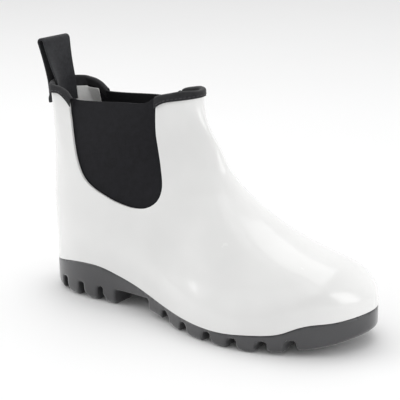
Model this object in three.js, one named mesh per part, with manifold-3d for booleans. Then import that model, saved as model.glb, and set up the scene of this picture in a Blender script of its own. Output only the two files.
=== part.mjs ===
// Chelsea rain boot, the right one of a pair, standing empty on its sole.
// X runs from the heel to the toe, the outer side of the foot is -Y, and Z points up from the floor.
// The origin is set at the end, at the middle of the bounding box's underside.
import * as THREE from 'three';
import { mergeVertices } from 'three/addons/utils/BufferGeometryUtils.js';
import Module from 'manifold-3d';

const wasm = await Module();
wasm.setup();

// Driving dimensions, in millimetres
const LENGTH = 276; // the outsole, from heel to toe
const HEEL_WIDTH = 71; // the outsole's heel
const WAIST_WIDTH = 63; // the outsole under the arch
const BALL_WIDTH = 103; // the outsole at the ball of the foot
const INSTEP_HEIGHT = 110; // the floor to the bend of the instep, outside
const SHAFT_HEIGHT = 171; // the floor to the top of the front peak
const SHAFT_WIDTH = 62; // the ankle shaft, from side to side
const SHAFT_DEPTH = 142; // the ankle shaft, from its back to its front
const RAND_HEIGHT = 30; // the outsole's wall, at its highest on the heel
const HEEL_LUG = 12.5; // depth of the cuts between the heel's lugs
const FORE_LUG = 6.5; // depth of the grooves in the forefoot's tread
const TOE_SPRING = 12; // how far the toe's tread curls off the floor
const RIM = 5; // width of the outsole's rim round the foot bed
const HEEL_EDGE = 4; // rounding of the heel's bottom edge
const FORE_EDGE = 2.2; // rounding of the forefoot's bottom edge
const WALL = 2.2; // the upper's wall
const GORE = 1.6; // the elastic panels
const GORE_LAP = 6; // how far a panel reaches behind the upper's wall
const TAPE = 1; // the collar's folded tape
const LOOP_WIDTH = 24; // the webbing of the pull loop
const WEBBING = 1.5; // thickness of that webbing
const LOOP_ASIDE = -2; // its middle from the boot's middle line
const LOOP_RISE = 32.2; // the pull loop above the back peak
const LOOP_LEAN = 5.4; // how far the loop's top leans back
const LOOP_BELLY = 1.5; // how far its two legs bow apart between collar and fold
const LOOP_FOLD = 3; // radius of the fold at its top
const LOOP_TAIL = 9.7; // how far its sewn ends reach below the tape
const LOOP_SPREAD = 5.6; // how much wider it is at the fold, where it lies flat, than where it wraps the heel
const LOOP_DRIFT = 2.8; // how far the fold sits over to the inner side of the sewn ends
const INSOLE = 3.5; // the loose foot bed
const LABEL_FROM = 5; // from the middle line to the blank patch inside the collar
const LABEL_WIDTH = 14.5; // that patch, from side to side
const LABEL_HEIGHT = 15; // and from its lower to its upper edge
const LABEL = 0.7; // thickness of that patch
const GAP = 0.3; // between pieces that touch

// How finely the surfaces are divided
const AROUND = 32; // points round each section of the upper
const ALONG = 38; // steps of the upper from toe to collar
const OUTLINE_POINTS = 80; // points round the sole
const LINE_STEPS = 36; // steps of a line that is given from the side

// The sole's outline from above: along is a share of LENGTH from the heel, across a share of a width.
const SOLE_WIDTHS = { heel: HEEL_WIDTH, waist: WAIST_WIDTH, ball: BALL_WIDTH };
const SOLE_OUTLINE = [
  { name: 'heel back', along: 0, across: 0, width: 'heel' },
  { name: 'heel back, outer', along: 0.038, across: -0.36, width: 'heel' },
  { name: 'heel, outer', along: 0.13, across: -0.5, width: 'heel' },
  { name: 'heel front, outer', along: 0.25, across: -0.495, width: 'heel' },
  { name: 'waist, outer', along: 0.362, across: -0.56, width: 'waist' },
  { name: 'joint, outer', along: 0.49, across: -0.42, width: 'ball' },
  { name: 'ball, outer', along: 0.645, across: -0.51, width: 'ball' },
  { name: 'small toe', along: 0.77, across: -0.475, width: 'ball' },
  { name: 'toe side, outer', along: 0.868, across: -0.37, width: 'ball' },
  { name: 'toe corner, outer', along: 0.945, across: -0.22, width: 'ball' },
  { name: 'toe, outer', along: 0.985, across: -0.06, width: 'ball' },
  { name: 'toe tip', along: 1, across: 0.09, width: 'ball' },
  { name: 'toe corner, inner', along: 0.978, across: 0.275, width: 'ball' },
  { name: 'big toe', along: 0.92, across: 0.405, width: 'ball' },
  { name: 'toe side, inner', along: 0.83, across: 0.475, width: 'ball' },
  { name: 'ball, inner', along: 0.715, across: 0.49, width: 'ball' },
  { name: 'joint, inner', along: 0.54, across: 0.4, width: 'ball' },
  { name: 'waist, inner', along: 0.385, across: 0.46, width: 'waist' },
  { name: 'heel front, inner', along: 0.25, across: 0.43, width: 'heel' },
  { name: 'heel, inner', along: 0.13, across: 0.5, width: 'heel' },
  { name: 'heel back, inner', along: 0.038, across: 0.36, width: 'heel' },
];

// The line where upper and sole meet, seen from the side: up is a share of RAND_HEIGHT.
const RAND_LINE = [
  { along: 0, up: 0.72 },
  { along: 0.05, up: 0.81 },
  { along: 0.12, up: 0.94 },
  { along: 0.18, up: 0.99 },
  { along: 0.23, up: 0.97 },
  { along: 0.28, up: 0.87 },
  { along: 0.35, up: 0.71 },
  { along: 0.42, up: 0.55 },
  { along: 0.49, up: 0.44 },
  { along: 0.56, up: 0.38 },
  { along: 0.63, up: 0.36 },
  { along: 0.7, up: 0.375 },
  { along: 0.76, up: 0.435 },
  { along: 0.81, up: 0.49 },
  { along: 0.845, up: 0.57 },
  { along: 0.875, up: 0.7 },
  { along: 0.905, up: 0.79 },
  { along: 0.95, up: 0.83 },
  { along: 1, up: 0.92 },
];

// The foot bed from the side, in the same shares.
const BED_LINE = [
  { along: 0, up: 0.62 },
  { along: 0.15, up: 0.65 },
  { along: 0.3, up: 0.6 },
  { along: 0.42, up: 0.44 },
  { along: 0.55, up: 0.31 },
  { along: 0.65, up: 0.3 },
  { along: 0.75, up: 0.33 },
  { along: 0.85, up: 0.42 },
  { along: 0.93, up: 0.5 },
  { along: 1, up: 0.68 },
];

// The tread's underside from the side: up is a share of TOE_SPRING.
const TREAD_LINE = [
  { along: 0.38, up: 0.42 },
  { along: 0.44, up: 0.3 },
  { along: 0.48, up: 0.15 },
  { along: 0.51, up: 0.03 },
  { along: 0.54, up: 0 },
  { along: 0.72, up: 0 },
  { along: 0.78, up: 0.06 },
  { along: 0.84, up: 0.2 },
  { along: 0.9, up: 0.42 },
  { along: 0.95, up: 0.66 },
  { along: 1, up: 1 },
];

// The upper's sections, from the toe over the foot and up the shaft. Each runs from a low point on the
// sole or the back to a high point on the toe, vamp or shaft front. In FOOT_SECTIONS lows and highs are
// shares of LENGTH along and INSTEP_HEIGHT up, and widths are shares of BALL_WIDTH.
// In SHAFT_SECTIONS they are shares of SHAFT_DEPTH, SHAFT_HEIGHT and SHAFT_WIDTH.
// widest is the place of the widest point from low to high; below and above say how full a section is there
// (0.71 is a true ellipse); ridge is how far the high point lies towards the inner side.
const FOOT_SECTIONS = [
  {
    lowX: 0.99, lowZ: 0.145, highX: 0.999, highZ: 0.2,
    outer: 0.058, inner: 0.058, widest: 0.5, below: 0.71, above: 0.71, ridge: 0.087,
  },
  {
    lowX: 0.978, lowZ: 0.064, highX: 0.991, highZ: 0.296,
    outer: 0.194, inner: 0.18, widest: 0.5, below: 0.74, above: 0.72, ridge: 0.087,
  },
  {
    lowX: 0.955, lowZ: 0, highX: 0.973, highZ: 0.38,
    outer: 0.301, inner: 0.272, widest: 0.48, below: 0.76, above: 0.72, ridge: 0.083,
  },
  {
    lowX: 0.92, lowZ: -0.059, highX: 0.946, highZ: 0.465,
    outer: 0.374, inner: 0.34, widest: 0.46, below: 0.78, above: 0.72, ridge: 0.073,
  },
  {
    lowX: 0.87, lowZ: -0.091, highX: 0.919, highZ: 0.519,
    outer: 0.427, inner: 0.408, widest: 0.45, below: 0.8, above: 0.73, ridge: 0.063,
  },
  {
    lowX: 0.801, lowZ: -0.091, highX: 0.863, highZ: 0.565,
    outer: 0.471, inner: 0.447, widest: 0.44, below: 0.82, above: 0.71, ridge: 0.049,
  },
  {
    lowX: 0.714, lowZ: -0.091, highX: 0.783, highZ: 0.63,
    outer: 0.495, inner: 0.466, widest: 0.42, below: 0.84, above: 0.68, ridge: 0.039,
  },
  {
    lowX: 0.62, lowZ: -0.091, highX: 0.697, highZ: 0.734,
    outer: 0.5, inner: 0.456, widest: 0.4, below: 0.85, above: 0.65, ridge: 0.029,
  },
  {
    lowX: 0.511, lowZ: -0.091, highX: 0.63, highZ: 0.865,
    outer: 0.456, inner: 0.422, widest: 0.4, below: 0.86, above: 0.62, ridge: 0.019,
  },
  {
    lowX: 0.391, lowZ: -0.091, highX: 0.59, highZ: 0.99,
    outer: 0.398, inner: 0.369, widest: 0.41, below: 0.85, above: 0.58, ridge: 0.01,
  },
  {
    lowX: 0.25, lowZ: -0.091, highX: 0.57, highZ: 1.074,
    outer: 0.364, inner: 0.345, widest: 0.42, below: 0.84, above: 0.56, ridge: 0,
  },
  {
    lowX: 0.109, lowZ: -0.091, highX: 0.555, highZ: 1.145,
    outer: 0.359, inner: 0.345, widest: 0.42, below: 0.81, above: 0.55, ridge: 0,
  },
];
const SHAFT_SECTIONS = [
  {
    lowX: 0.021, lowZ: -0.035, highX: 1.054, highZ: 0.77,
    outer: 0.589, inner: 0.573, widest: 0.42, below: 0.79, above: 0.54, ridge: 0,
  },
  {
    lowX: -0.014, lowZ: 0.129, highX: 1.03, highZ: 0.798,
    outer: 0.573, inner: 0.565, widest: 0.41, below: 0.8, above: 0.53, ridge: 0,
  },
  {
    lowX: -0.02, lowZ: 0.304, highX: 1.006, highZ: 0.83,
    outer: 0.556, inner: 0.548, widest: 0.39, below: 0.82, above: 0.53, ridge: 0,
  },
  {
    lowX: -0.013, lowZ: 0.468, highX: 0.985, highZ: 0.863,
    outer: 0.529, inner: 0.521, widest: 0.37, below: 0.84, above: 0.56, ridge: 0,
  },
  {
    lowX: -0.001, lowZ: 0.626, highX: 0.97, highZ: 0.902,
    outer: 0.477, inner: 0.473, widest: 0.34, below: 0.87, above: 0.63, ridge: 0,
  },
  {
    lowX: -0.001, lowZ: 0.76, highX: 0.963, highZ: 0.941,
    outer: 0.413, inner: 0.413, widest: 0.29, below: 0.91, above: 0.73, ridge: 0,
  },
  {
    lowX: -0.014, lowZ: 0.877, highX: 0.964, highZ: 0.979,
    outer: 0.355, inner: 0.355, widest: 0.24, below: 0.95, above: 0.82, ridge: 0,
  },
  {
    lowX: -0.028, lowZ: 0.965, highX: 0.966, highZ: 1.017,
    outer: 0.323, inner: 0.323, widest: 0.22, below: 0.97, above: 0.85, ridge: 0,
  },
  {
    lowX: -0.046, lowZ: 1.058, highX: 0.969, highZ: 1.064,
    outer: 0.313, inner: 0.313, widest: 0.22, below: 0.97, above: 0.85, ridge: 0,
  },
];

// The collar's edge from the side, with its back and front peaks: along in SHAFT_DEPTH, up in SHAFT_HEIGHT.
const COLLAR_LINE = [
  { along: -0.085, up: 0.96 },
  { along: 0.028, up: 0.96 },
  { along: 0.07, up: 0.955 },
  { along: 0.109, up: 0.951 },
  { along: 0.141, up: 0.943 },
  { along: 0.169, up: 0.93 },
  { along: 0.19, up: 0.914 },
  { along: 0.211, up: 0.905 },
  { along: 0.246, up: 0.903 },
  { along: 0.338, up: 0.907 },
  { along: 0.465, up: 0.915 },
  { along: 0.592, up: 0.922 },
  { along: 0.676, up: 0.926 },
  { along: 0.704, up: 0.933 },
  { along: 0.732, up: 0.95 },
  { along: 0.761, up: 0.964 },
  { along: 0.796, up: 0.974 },
  { along: 0.838, up: 0.982 },
  { along: 0.887, up: 0.991 },
  { along: 0.93, up: 0.994 },
  { along: 0.958, up: 0.992 },
  { along: 0.986, up: 0.988 },
  { along: 1.085, up: 0.982 },
];

// The lower edge of the tape, in the same shares.
const TAPE_LINE = [
  { along: -0.085, up: 0.914 },
  { along: 0.028, up: 0.915 },
  { along: 0.07, up: 0.919 },
  { along: 0.113, up: 0.918 },
  { along: 0.148, up: 0.904 },
  { along: 0.176, up: 0.888 },
  { along: 0.211, up: 0.863 },
  { along: 0.268, up: 0.836 },
  { along: 0.563, up: 0.848 },
  { along: 0.69, up: 0.883 },
  { along: 0.739, up: 0.901 },
  { along: 0.768, up: 0.918 },
  { along: 0.796, up: 0.933 },
  { along: 0.831, up: 0.943 },
  { along: 0.88, up: 0.951 },
  { along: 0.923, up: 0.957 },
  { along: 0.972, up: 0.963 },
  { along: 1.085, up: 0.964 },
];

// The side cut-out, from its back corner down and round to its front corner, in the same shares.
const CUT_OUT = [
  { along: 0.19, up: 1.029 },
  { along: 0.1945, up: 0.877 },
  { along: 0.2155, up: 0.816 },
  { along: 0.2415, up: 0.749 },
  { along: 0.281, up: 0.658 },
  { along: 0.323, up: 0.591 },
  { along: 0.364, up: 0.554 },
  { along: 0.421, up: 0.525 },
  { along: 0.48, up: 0.505 },
  { along: 0.541, up: 0.487 },
  { along: 0.628, up: 0.472 },
  { along: 0.698, up: 0.472 },
  { along: 0.758, up: 0.485 },
  { along: 0.807, up: 0.519 },
  { along: 0.823, up: 0.573 },
  { along: 0.804, up: 0.661 },
  { along: 0.78, up: 0.749 },
  { along: 0.766, up: 0.836 },
  { along: 0.765, up: 1.029 },
];

// Smooth curve through values at rising knots: a natural cubic spline.
function splineThrough(knots, values) {
  const last = knots.length - 1;
  const bend = new Array(last + 1).fill(0);
  const carry = new Array(last + 1).fill(0);
  const slope = i => (values[i + 1] - values[i]) / (knots[i + 1] - knots[i]);
  for (let i = 1; i < last; i++) {
    const share = (knots[i] - knots[i - 1]) / (knots[i + 1] - knots[i - 1]);
    const pivot = share * bend[i - 1] + 2;
    bend[i] = (share - 1) / pivot;
    const jump = 6 * (slope(i) - slope(i - 1)) / (knots[i + 1] - knots[i - 1]);
    carry[i] = (jump - share * carry[i - 1]) / pivot;
  }
  const curve = new Array(last + 1).fill(0);
  for (let i = last - 1; i > 0; i--) curve[i] = bend[i] * curve[i + 1] + carry[i];
  return at => {
    let i = 0;
    while (i < last - 1 && at > knots[i + 1]) i++;
    const span = knots[i + 1] - knots[i];
    const right = (at - knots[i]) / span;
    const left = 1 - right;
    const sag = (left ** 3 - left) * curve[i] + (right ** 3 - right) * curve[i + 1];
    return left * values[i] + right * values[i + 1] + sag * span * span / 6;
  };
}

const clamp = THREE.MathUtils.clamp;
const smooth = at => THREE.MathUtils.smoothstep(at, 0, 1);
const profile = (rows, alongSize, upSize) => {
  const along = rows.map(row => row.along * alongSize);
  const line = splineThrough(along, rows.map(row => row.up * upSize));
  return x => line(clamp(x, along[0], along.at(-1)));
};
const randHeight = profile(RAND_LINE, LENGTH, RAND_HEIGHT);
const treadLine = profile(TREAD_LINE, LENGTH, TOE_SPRING);
const treadHeight = x => Math.max(0, treadLine(x)); // flat on the floor under the ball
const collarHeight = profile(COLLAR_LINE, SHAFT_DEPTH, SHAFT_HEIGHT);
const tapeHeight = profile(TAPE_LINE, SHAFT_DEPTH, SHAFT_HEIGHT);
const bedHeight = profile(BED_LINE, LENGTH, RAND_HEIGHT);

// Closed curve through points in the plane, drawn as a spline that overlaps its own ends.
function closedCurve(points, count) {
  const lap = 4;
  const ring = [...points.slice(-lap), ...points, ...points.slice(0, lap + 1)];
  const knots = [0];
  for (let i = 1; i < ring.length; i++) knots.push(knots[i - 1] + ring[i].distanceTo(ring[i - 1]));
  const x = splineThrough(knots, ring.map(point => point.x));
  const y = splineThrough(knots, ring.map(point => point.y));
  const start = knots[lap];
  const length = knots[lap + points.length] - start;
  return Array.from({ length: count }, (_, i) => {
    const at = start + length * i / count;
    return new THREE.Vector2(x(at), y(at));
  });
}

const outline = closedCurve(
  SOLE_OUTLINE.map(row => new THREE.Vector2(row.along * LENGTH, row.across * SOLE_WIDTHS[row.width])),
  OUTLINE_POINTS,
);

// The outline drawn in by a distance; it runs anticlockwise from above, so inwards is to the left.
function drawnIn(inset) {
  const count = outline.length;
  return outline.map((point, i) => {
    const next = outline[(i + 1) % count];
    const before = outline[(i + count - 1) % count];
    const tangent = next.clone().sub(before).normalize();
    const distance = typeof inset === 'function' ? inset(point.x) : inset;
    return new THREE.Vector2(point.x - tangent.y * distance, point.y + tangent.x * distance);
  });
}

// Solids: a loft through rings of equal count with flat ends, and prisms of drawn shapes
function solidOf(geometry) {
  geometry.deleteAttribute('normal');
  geometry.deleteAttribute('uv');
  const merged = mergeVertices(geometry, 1e-4);
  return new wasm.Manifold(new wasm.Mesh({
    numProp: 3,
    vertProperties: new Float32Array(merged.attributes.position.array),
    triVerts: new Uint32Array(merged.index.array),
  }));
}

function loft(rings) {
  const count = rings[0].length;
  const points = rings.flat();
  const faces = [];
  for (let i = 0; i + 1 < rings.length; i++) {
    for (let j = 0; j < count; j++) {
      const a = i * count + j;
      const b = i * count + (j + 1) % count;
      faces.push(a, b, b + count, a, b + count, a + count);
    }
  }
  for (const [ring, turn] of [[0, 1], [rings.length - 1, 0]]) {
    const middle = new THREE.Vector3();
    for (const point of rings[ring]) middle.add(point);
    points.push(middle.divideScalar(count));
    for (let j = 0; j < count; j++) {
      const a = ring * count + j;
      const b = ring * count + (j + 1) % count;
      faces.push(points.length - 1, turn ? b : a, turn ? a : b);
    }
  }
  const geometry = new THREE.BufferGeometry().setFromPoints(points);
  geometry.setIndex(faces);
  return solidOf(geometry);
}

const extruded = (points, depth) => (
  new THREE.ExtrudeGeometry(new THREE.Shape(points), { depth, bevelEnabled: false }));

// A prism of a shape drawn from the side, x along and y up, reaching across from one y to another
function sidePrism(points, from, to) {
  const geometry = extruded(points, to - from);
  geometry.rotateX(Math.PI / 2);
  geometry.translate(0, to, 0);
  return solidOf(geometry);
}

// A prism of a shape drawn from above, reaching up from one z to another
function floorPrism(points, from, to) {
  const geometry = extruded(points, to - from);
  geometry.translate(0, 0, from);
  return solidOf(geometry);
}

// Everything under, or over, a line that is given from the side, drawn over the foot or over the shaft
const REACH = LENGTH; // further than any piece reaches
const FOOT_SPAN = [-0.1 * LENGTH, 1.1 * LENGTH];
const SHAFT_SPAN = [-0.15 * SHAFT_DEPTH, 1.1 * SHAFT_DEPTH];
function sideRegion(height, edge, [from, to]) {
  const line = Array.from({ length: LINE_STEPS + 1 }, (_, i) => {
    const x = THREE.MathUtils.lerp(from, to, i / LINE_STEPS);
    return new THREE.Vector2(x, height(x));
  });
  line.push(new THREE.Vector2(to, edge), new THREE.Vector2(from, edge));
  return sidePrism(line, -REACH, REACH);
}
const under = (height, span = FOOT_SPAN) => sideRegion(height, -REACH, span);
const over = (height, span = FOOT_SPAN) => sideRegion(height, REACH, span);

// The upper's outer face: rows of the two tables in millimetres
const sections = [
  ...FOOT_SECTIONS.map(row => ({ ...row, deep: LENGTH, tall: INSTEP_HEIGHT, wide: BALL_WIDTH })),
  ...SHAFT_SECTIONS.map(row => ({ ...row, deep: SHAFT_DEPTH, tall: SHAFT_HEIGHT, wide: SHAFT_WIDTH })),
];
const rowKnots = sections.map((_, i) => i);
const column = value => splineThrough(rowKnots, sections.map(value));
const shape = {
  lowX: column(row => row.lowX * row.deep),
  lowZ: column(row => row.lowZ * row.tall),
  highX: column(row => row.highX * row.deep),
  highZ: column(row => row.highZ * row.tall),
  outer: column(row => row.outer * row.wide),
  inner: column(row => row.inner * row.wide),
  ridge: column(row => row.ridge * row.wide),
  widest: column(row => row.widest),
  below: column(row => row.below),
  above: column(row => row.above),
};

// A section's ring goes through eight points at equal angles, joined by a short Fourier sum.
const POINTS_IN_RING = 8;
const QUARTER = (1 - Math.SQRT1_2) / 2; // how far up an ellipse its lower quarter points lie
function ringWave(values) {
  const waves = [];
  for (let k = 0; k <= POINTS_IN_RING / 2; k++) {
    const weight = (k === 0 || k === POINTS_IN_RING / 2 ? 1 : 2) / POINTS_IN_RING;
    let cosine = 0;
    let sine = 0;
    values.forEach((value, j) => {
      cosine += weight * value * Math.cos(2 * Math.PI * k * j / POINTS_IN_RING);
      sine += weight * value * Math.sin(2 * Math.PI * k * j / POINTS_IN_RING);
    });
    waves.push([cosine, sine]);
  }
  return turn => waves.reduce((sum, [cosine, sine], k) => (
    sum + cosine * Math.cos(k * turn) + sine * Math.sin(k * turn)), 0);
}

// Where a ray from a point on the foot's middle line meets the sole's outline
const HAIR = 1e-9; // the rounding error allowed where a ray meets a corner
const SPINE_BACK = new THREE.Vector2(0.14 * LENGTH, 0);
const SPINE_FRONT = new THREE.Vector2(0.8 * LENGTH, 0.03 * BALL_WIDTH);
function outlineReach(from, direction) {
  let reach = 0;
  outline.forEach((a, i) => {
    const edge = outline[(i + 1) % outline.length].clone().sub(a);
    const across = direction.x * edge.y - direction.y * edge.x;
    const offset = a.clone().sub(from);
    const share = (offset.x * direction.y - offset.y * direction.x) / across;
    const distance = (offset.x * edge.y - offset.y * edge.x) / across;
    if (share >= -HAIR && share <= 1 + HAIR && distance > reach) reach = distance;
  });
  return reach;
}

// Near the rand the upper stands exactly over the sole's outline, and eases into its own form above.
const EASE_UP = 32;
const EASE_DOWN = 12;
function seated(point) {
  const above = point.z - randHeight(point.x);
  if (above > EASE_UP || above < -EASE_DOWN) return point;
  const own = above > 0 ? smooth(above / EASE_UP) : smooth(-above / EASE_DOWN);
  const flat = new THREE.Vector2(point.x, point.y);
  const spine = SPINE_FRONT.clone().sub(SPINE_BACK);
  const share = clamp(flat.clone().sub(SPINE_BACK).dot(spine) / spine.lengthSq(), 0, 1);
  const foot = SPINE_BACK.clone().addScaledVector(spine, share);
  const out = flat.clone().sub(foot);
  const distance = out.length();
  out.normalize();
  const reach = THREE.MathUtils.lerp(outlineReach(foot, out), distance, own);
  const placed = foot.clone().addScaledVector(out, reach);
  return new THREE.Vector3(placed.x, placed.y, point.z);
}

// A point of the outer face: row is the place in the tables, and turn goes round from the low point by the
// outer side.
function facePoint(row, turn) {
  const at = Object.fromEntries(Object.entries(shape).map(([name, curve]) => [name, curve(row)]));
  const lowQuarter = 2 * at.widest * QUARTER;
  const highQuarter = 1 - 2 * (1 - at.widest) * QUARTER;
  const across = ringWave([0, -at.outer * at.below, -at.outer, -at.outer * at.above, 0,
    at.inner * at.above, at.inner, at.inner * at.below]);
  const upward = ringWave([0, lowQuarter, at.widest, highQuarter, 1, highQuarter, at.widest, lowQuarter]);
  const up = upward(turn);
  return seated(new THREE.Vector3(
    THREE.MathUtils.lerp(at.lowX, at.highX, up),
    across(turn) + at.ridge,
    THREE.MathUtils.lerp(at.lowZ, at.highZ, up),
  ));
}

const LAST_ROW = sections.length - 1;
const faceGrid = Array.from({ length: ALONG + 1 }, (_, i) => (
  Array.from({ length: AROUND }, (_, j) => facePoint(LAST_ROW * i / ALONG, 2 * Math.PI * j / AROUND))));
const faceNormals = faceGrid.map((ring, i) => ring.map((_, j) => {
  const along = faceGrid[Math.min(i + 1, ALONG)][j].clone().sub(faceGrid[Math.max(i - 1, 0)][j]);
  const around = ring[(j + 1) % AROUND].clone().sub(ring[(j + AROUND - 1) % AROUND]);
  return around.cross(along).normalize();
}));

// The closed form inside a face that lies a distance outside the upper's own, or inside it if negative
function formAt(distance) {
  return loft(faceGrid.map((ring, i) => ring.map((point, j) => (
    point.clone().addScaledVector(faceNormals[i][j], distance)))));
}

// The collar and the side cut-outs
const collarCut = lift => over(x => collarHeight(x) + lift, SHAFT_SPAN);
const CUT_STEPS = 32;
function cutOutline(grow) {
  const points = CUT_OUT.map(row => new THREE.Vector2(row.along * SHAFT_DEPTH, row.up * SHAFT_HEIGHT));
  const curve = new THREE.SplineCurve(points).getPoints(CUT_STEPS);
  return curve.map((point, i) => {
    const next = curve[Math.min(i + 1, CUT_STEPS)];
    const before = curve[Math.max(i - 1, 0)];
    const tangent = next.clone().sub(before).normalize();
    return new THREE.Vector2(point.x + tangent.y * grow, point.y - tangent.x * grow);
  });
}
const cutOut = grow => sidePrism(cutOutline(grow), -REACH, REACH);

// Upper: one hollow wall, open at the collar, at both cut-outs and over the sole
function makeUpper() {
  return formAt(0).subtract(formAt(-WALL))
    .intersect(over(x => randHeight(x) + GAP))
    .subtract(collarCut(-TAPE - GAP))
    .subtract(cutOut(0));
}

// The collar's tape is folded over the edge: a channel with an outer leg, an inner leg and a top.
const MIDDLE_OF_SHAFT = SHAFT_DEPTH * 0.49;
function tapeForm(margin) {
  return formAt(GAP + TAPE + margin).subtract(formAt(-(WALL + GAP + TAPE + margin)))
    .intersect(over(x => tapeHeight(x) - margin, SHAFT_SPAN))
    .subtract(cutOut(-margin));
}
function makeBindings() {
  const slot = formAt(GAP).subtract(formAt(-(WALL + GAP))).subtract(collarCut(-TAPE));
  const tape = tapeForm(0).subtract(collarCut(0)).subtract(slot);
  const back = sidePrism([
    new THREE.Vector2(-REACH, 0),
    new THREE.Vector2(MIDDLE_OF_SHAFT, 0),
    new THREE.Vector2(MIDDLE_OF_SHAFT, REACH),
    new THREE.Vector2(-REACH, REACH),
  ], -REACH, REACH);
  return { front: tape.subtract(back), back: tape.intersect(back) };
}

// Elastic panels: they follow the inside of the wall and reach a lap further than the cut-out
function makeGores() {
  const panels = formAt(-(WALL + GAP)).subtract(formAt(-(WALL + GAP + GORE)))
    .intersect(cutOut(GORE_LAP))
    .subtract(collarCut(0))
    .subtract(tapeForm(GAP));
  const outerSide = sidePrism([
    new THREE.Vector2(-REACH, -REACH),
    new THREE.Vector2(REACH, -REACH),
    new THREE.Vector2(REACH, REACH),
    new THREE.Vector2(-REACH, REACH),
  ], -REACH, 0);
  return { lateral: panels.intersect(outerSide), medial: panels.subtract(outerSide) };
}

// Where the upper's back lies at a height, at a distance from the middle line
const rowOfBack = splineThrough(
  SHAFT_SECTIONS.map(row => row.lowZ * SHAFT_HEIGHT),
  SHAFT_SECTIONS.map((_, i) => FOOT_SECTIONS.length + i),
);
const HALVINGS = 12;
function backX(aside, z) {
  const row = rowOfBack(z);
  let near = 0;
  let far = Math.PI / 2;
  for (let i = 0; i < HALVINGS; i++) {
    const half = (near + far) / 2;
    if (Math.abs(facePoint(row, half).y) < aside) near = half;
    else far = half;
  }
  return facePoint(row, near).x;
}

// Pull loop: webbing that rises from outside the back peak, folds over and comes down inside
const LOOP_STEPS = 7;
const LOOP_ACROSS = 4;
const FOLD_STEPS = 6;
const peakHeight = collarHeight(0);
const loopFoot = tapeHeight(0) - LOOP_TAIL;
const foldHeight = peakHeight + LOOP_RISE - LOOP_FOLD - WEBBING / 2;
const legClearance = TAPE + 3.5 * GAP; // from the wall's face to a leg, over the folded tape
function makeLoop() {
  const climb = Array.from({ length: LOOP_STEPS + 1 }, (_, i) => (
    THREE.MathUtils.lerp(loopFoot, foldHeight, i / LOOP_STEPS)));
  const turns = Array.from({ length: FOLD_STEPS - 1 }, (_, i) => Math.PI * (1 - (i + 1) / FOLD_STEPS));
  const shares = Array.from({ length: LOOP_ACROSS + 1 }, (_, j) => 2 * j / LOOP_ACROSS - 1);
  const acrossAt = (share, z = peakHeight) => {
    const rise = clamp((z - peakHeight) / (foldHeight - peakHeight), 0, 1);
    return LOOP_ASIDE + LOOP_DRIFT * rise + share * (LOOP_WIDTH + LOOP_SPREAD * rise) / 2;
  };
  const pathAt = share => {
    const aside = Math.abs(acrossAt(share));
    const foldX = backX(0, peakHeight) + WALL / 2 - LOOP_LEAN;
    const leg = (z, side) => {
      const sewn = Math.min(z, peakHeight);
      const slant = Math.hypot(1, (backX(aside + 1, sewn) - backX(aside, sewn)));
      const faceOfWall = side > 0 ? WALL + legClearance : -legClearance;
      const sewnX = backX(aside, sewn) + faceOfWall * slant + side * WEBBING / 2;
      const rise = clamp((z - peakHeight) / (foldHeight - peakHeight), 0, 1);
      const belly = side * LOOP_BELLY * Math.sin(Math.PI * rise);
      return new THREE.Vector2(THREE.MathUtils.lerp(sewnX, foldX + side * LOOP_FOLD, rise) + belly, z);
    };
    return [
      ...climb.map(z => leg(z, -1)),
      ...turns.map(turn => new THREE.Vector2(
        foldX + LOOP_FOLD * Math.cos(turn),
        foldHeight + LOOP_FOLD * Math.sin(turn),
      )),
      ...climb.toReversed().map(z => leg(z, 1)),
    ];
  };
  const paths = shares.map(pathAt);
  const face = (i, side) => paths.map((path, j) => {
    const next = path[Math.min(i + 1, path.length - 1)];
    const before = path[Math.max(i - 1, 0)];
    const tangent = next.clone().sub(before).normalize();
    return new THREE.Vector3(
      path[i].x + side * tangent.y * WEBBING / 2,
      acrossAt(shares[j], path[i].y),
      path[i].y - side * tangent.x * WEBBING / 2,
    );
  });
  return loft(paths[0].map((_, i) => [...face(i, -1).reverse(), ...face(i, 1)]));
}

// Blank woven patch inside the collar, half behind the loop on the inner side
function makeLabel() {
  const sideways = floorPrism([
    new THREE.Vector2(-REACH, LABEL_FROM),
    new THREE.Vector2(MIDDLE_OF_SHAFT, LABEL_FROM),
    new THREE.Vector2(MIDDLE_OF_SHAFT, LABEL_FROM + LABEL_WIDTH),
    new THREE.Vector2(-REACH, LABEL_FROM + LABEL_WIDTH),
  ], 0, REACH);
  return formAt(-(WALL + GAP)).subtract(formAt(-(WALL + GAP + LABEL)))
    .intersect(over(x => tapeHeight(x) - GAP - LABEL_HEIGHT, SHAFT_SPAN))
    .intersect(under(x => tapeHeight(x) - GAP, SHAFT_SPAN))
    .intersect(sideways)
    .subtract(cutOut(GORE_LAP + GAP));
}

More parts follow.
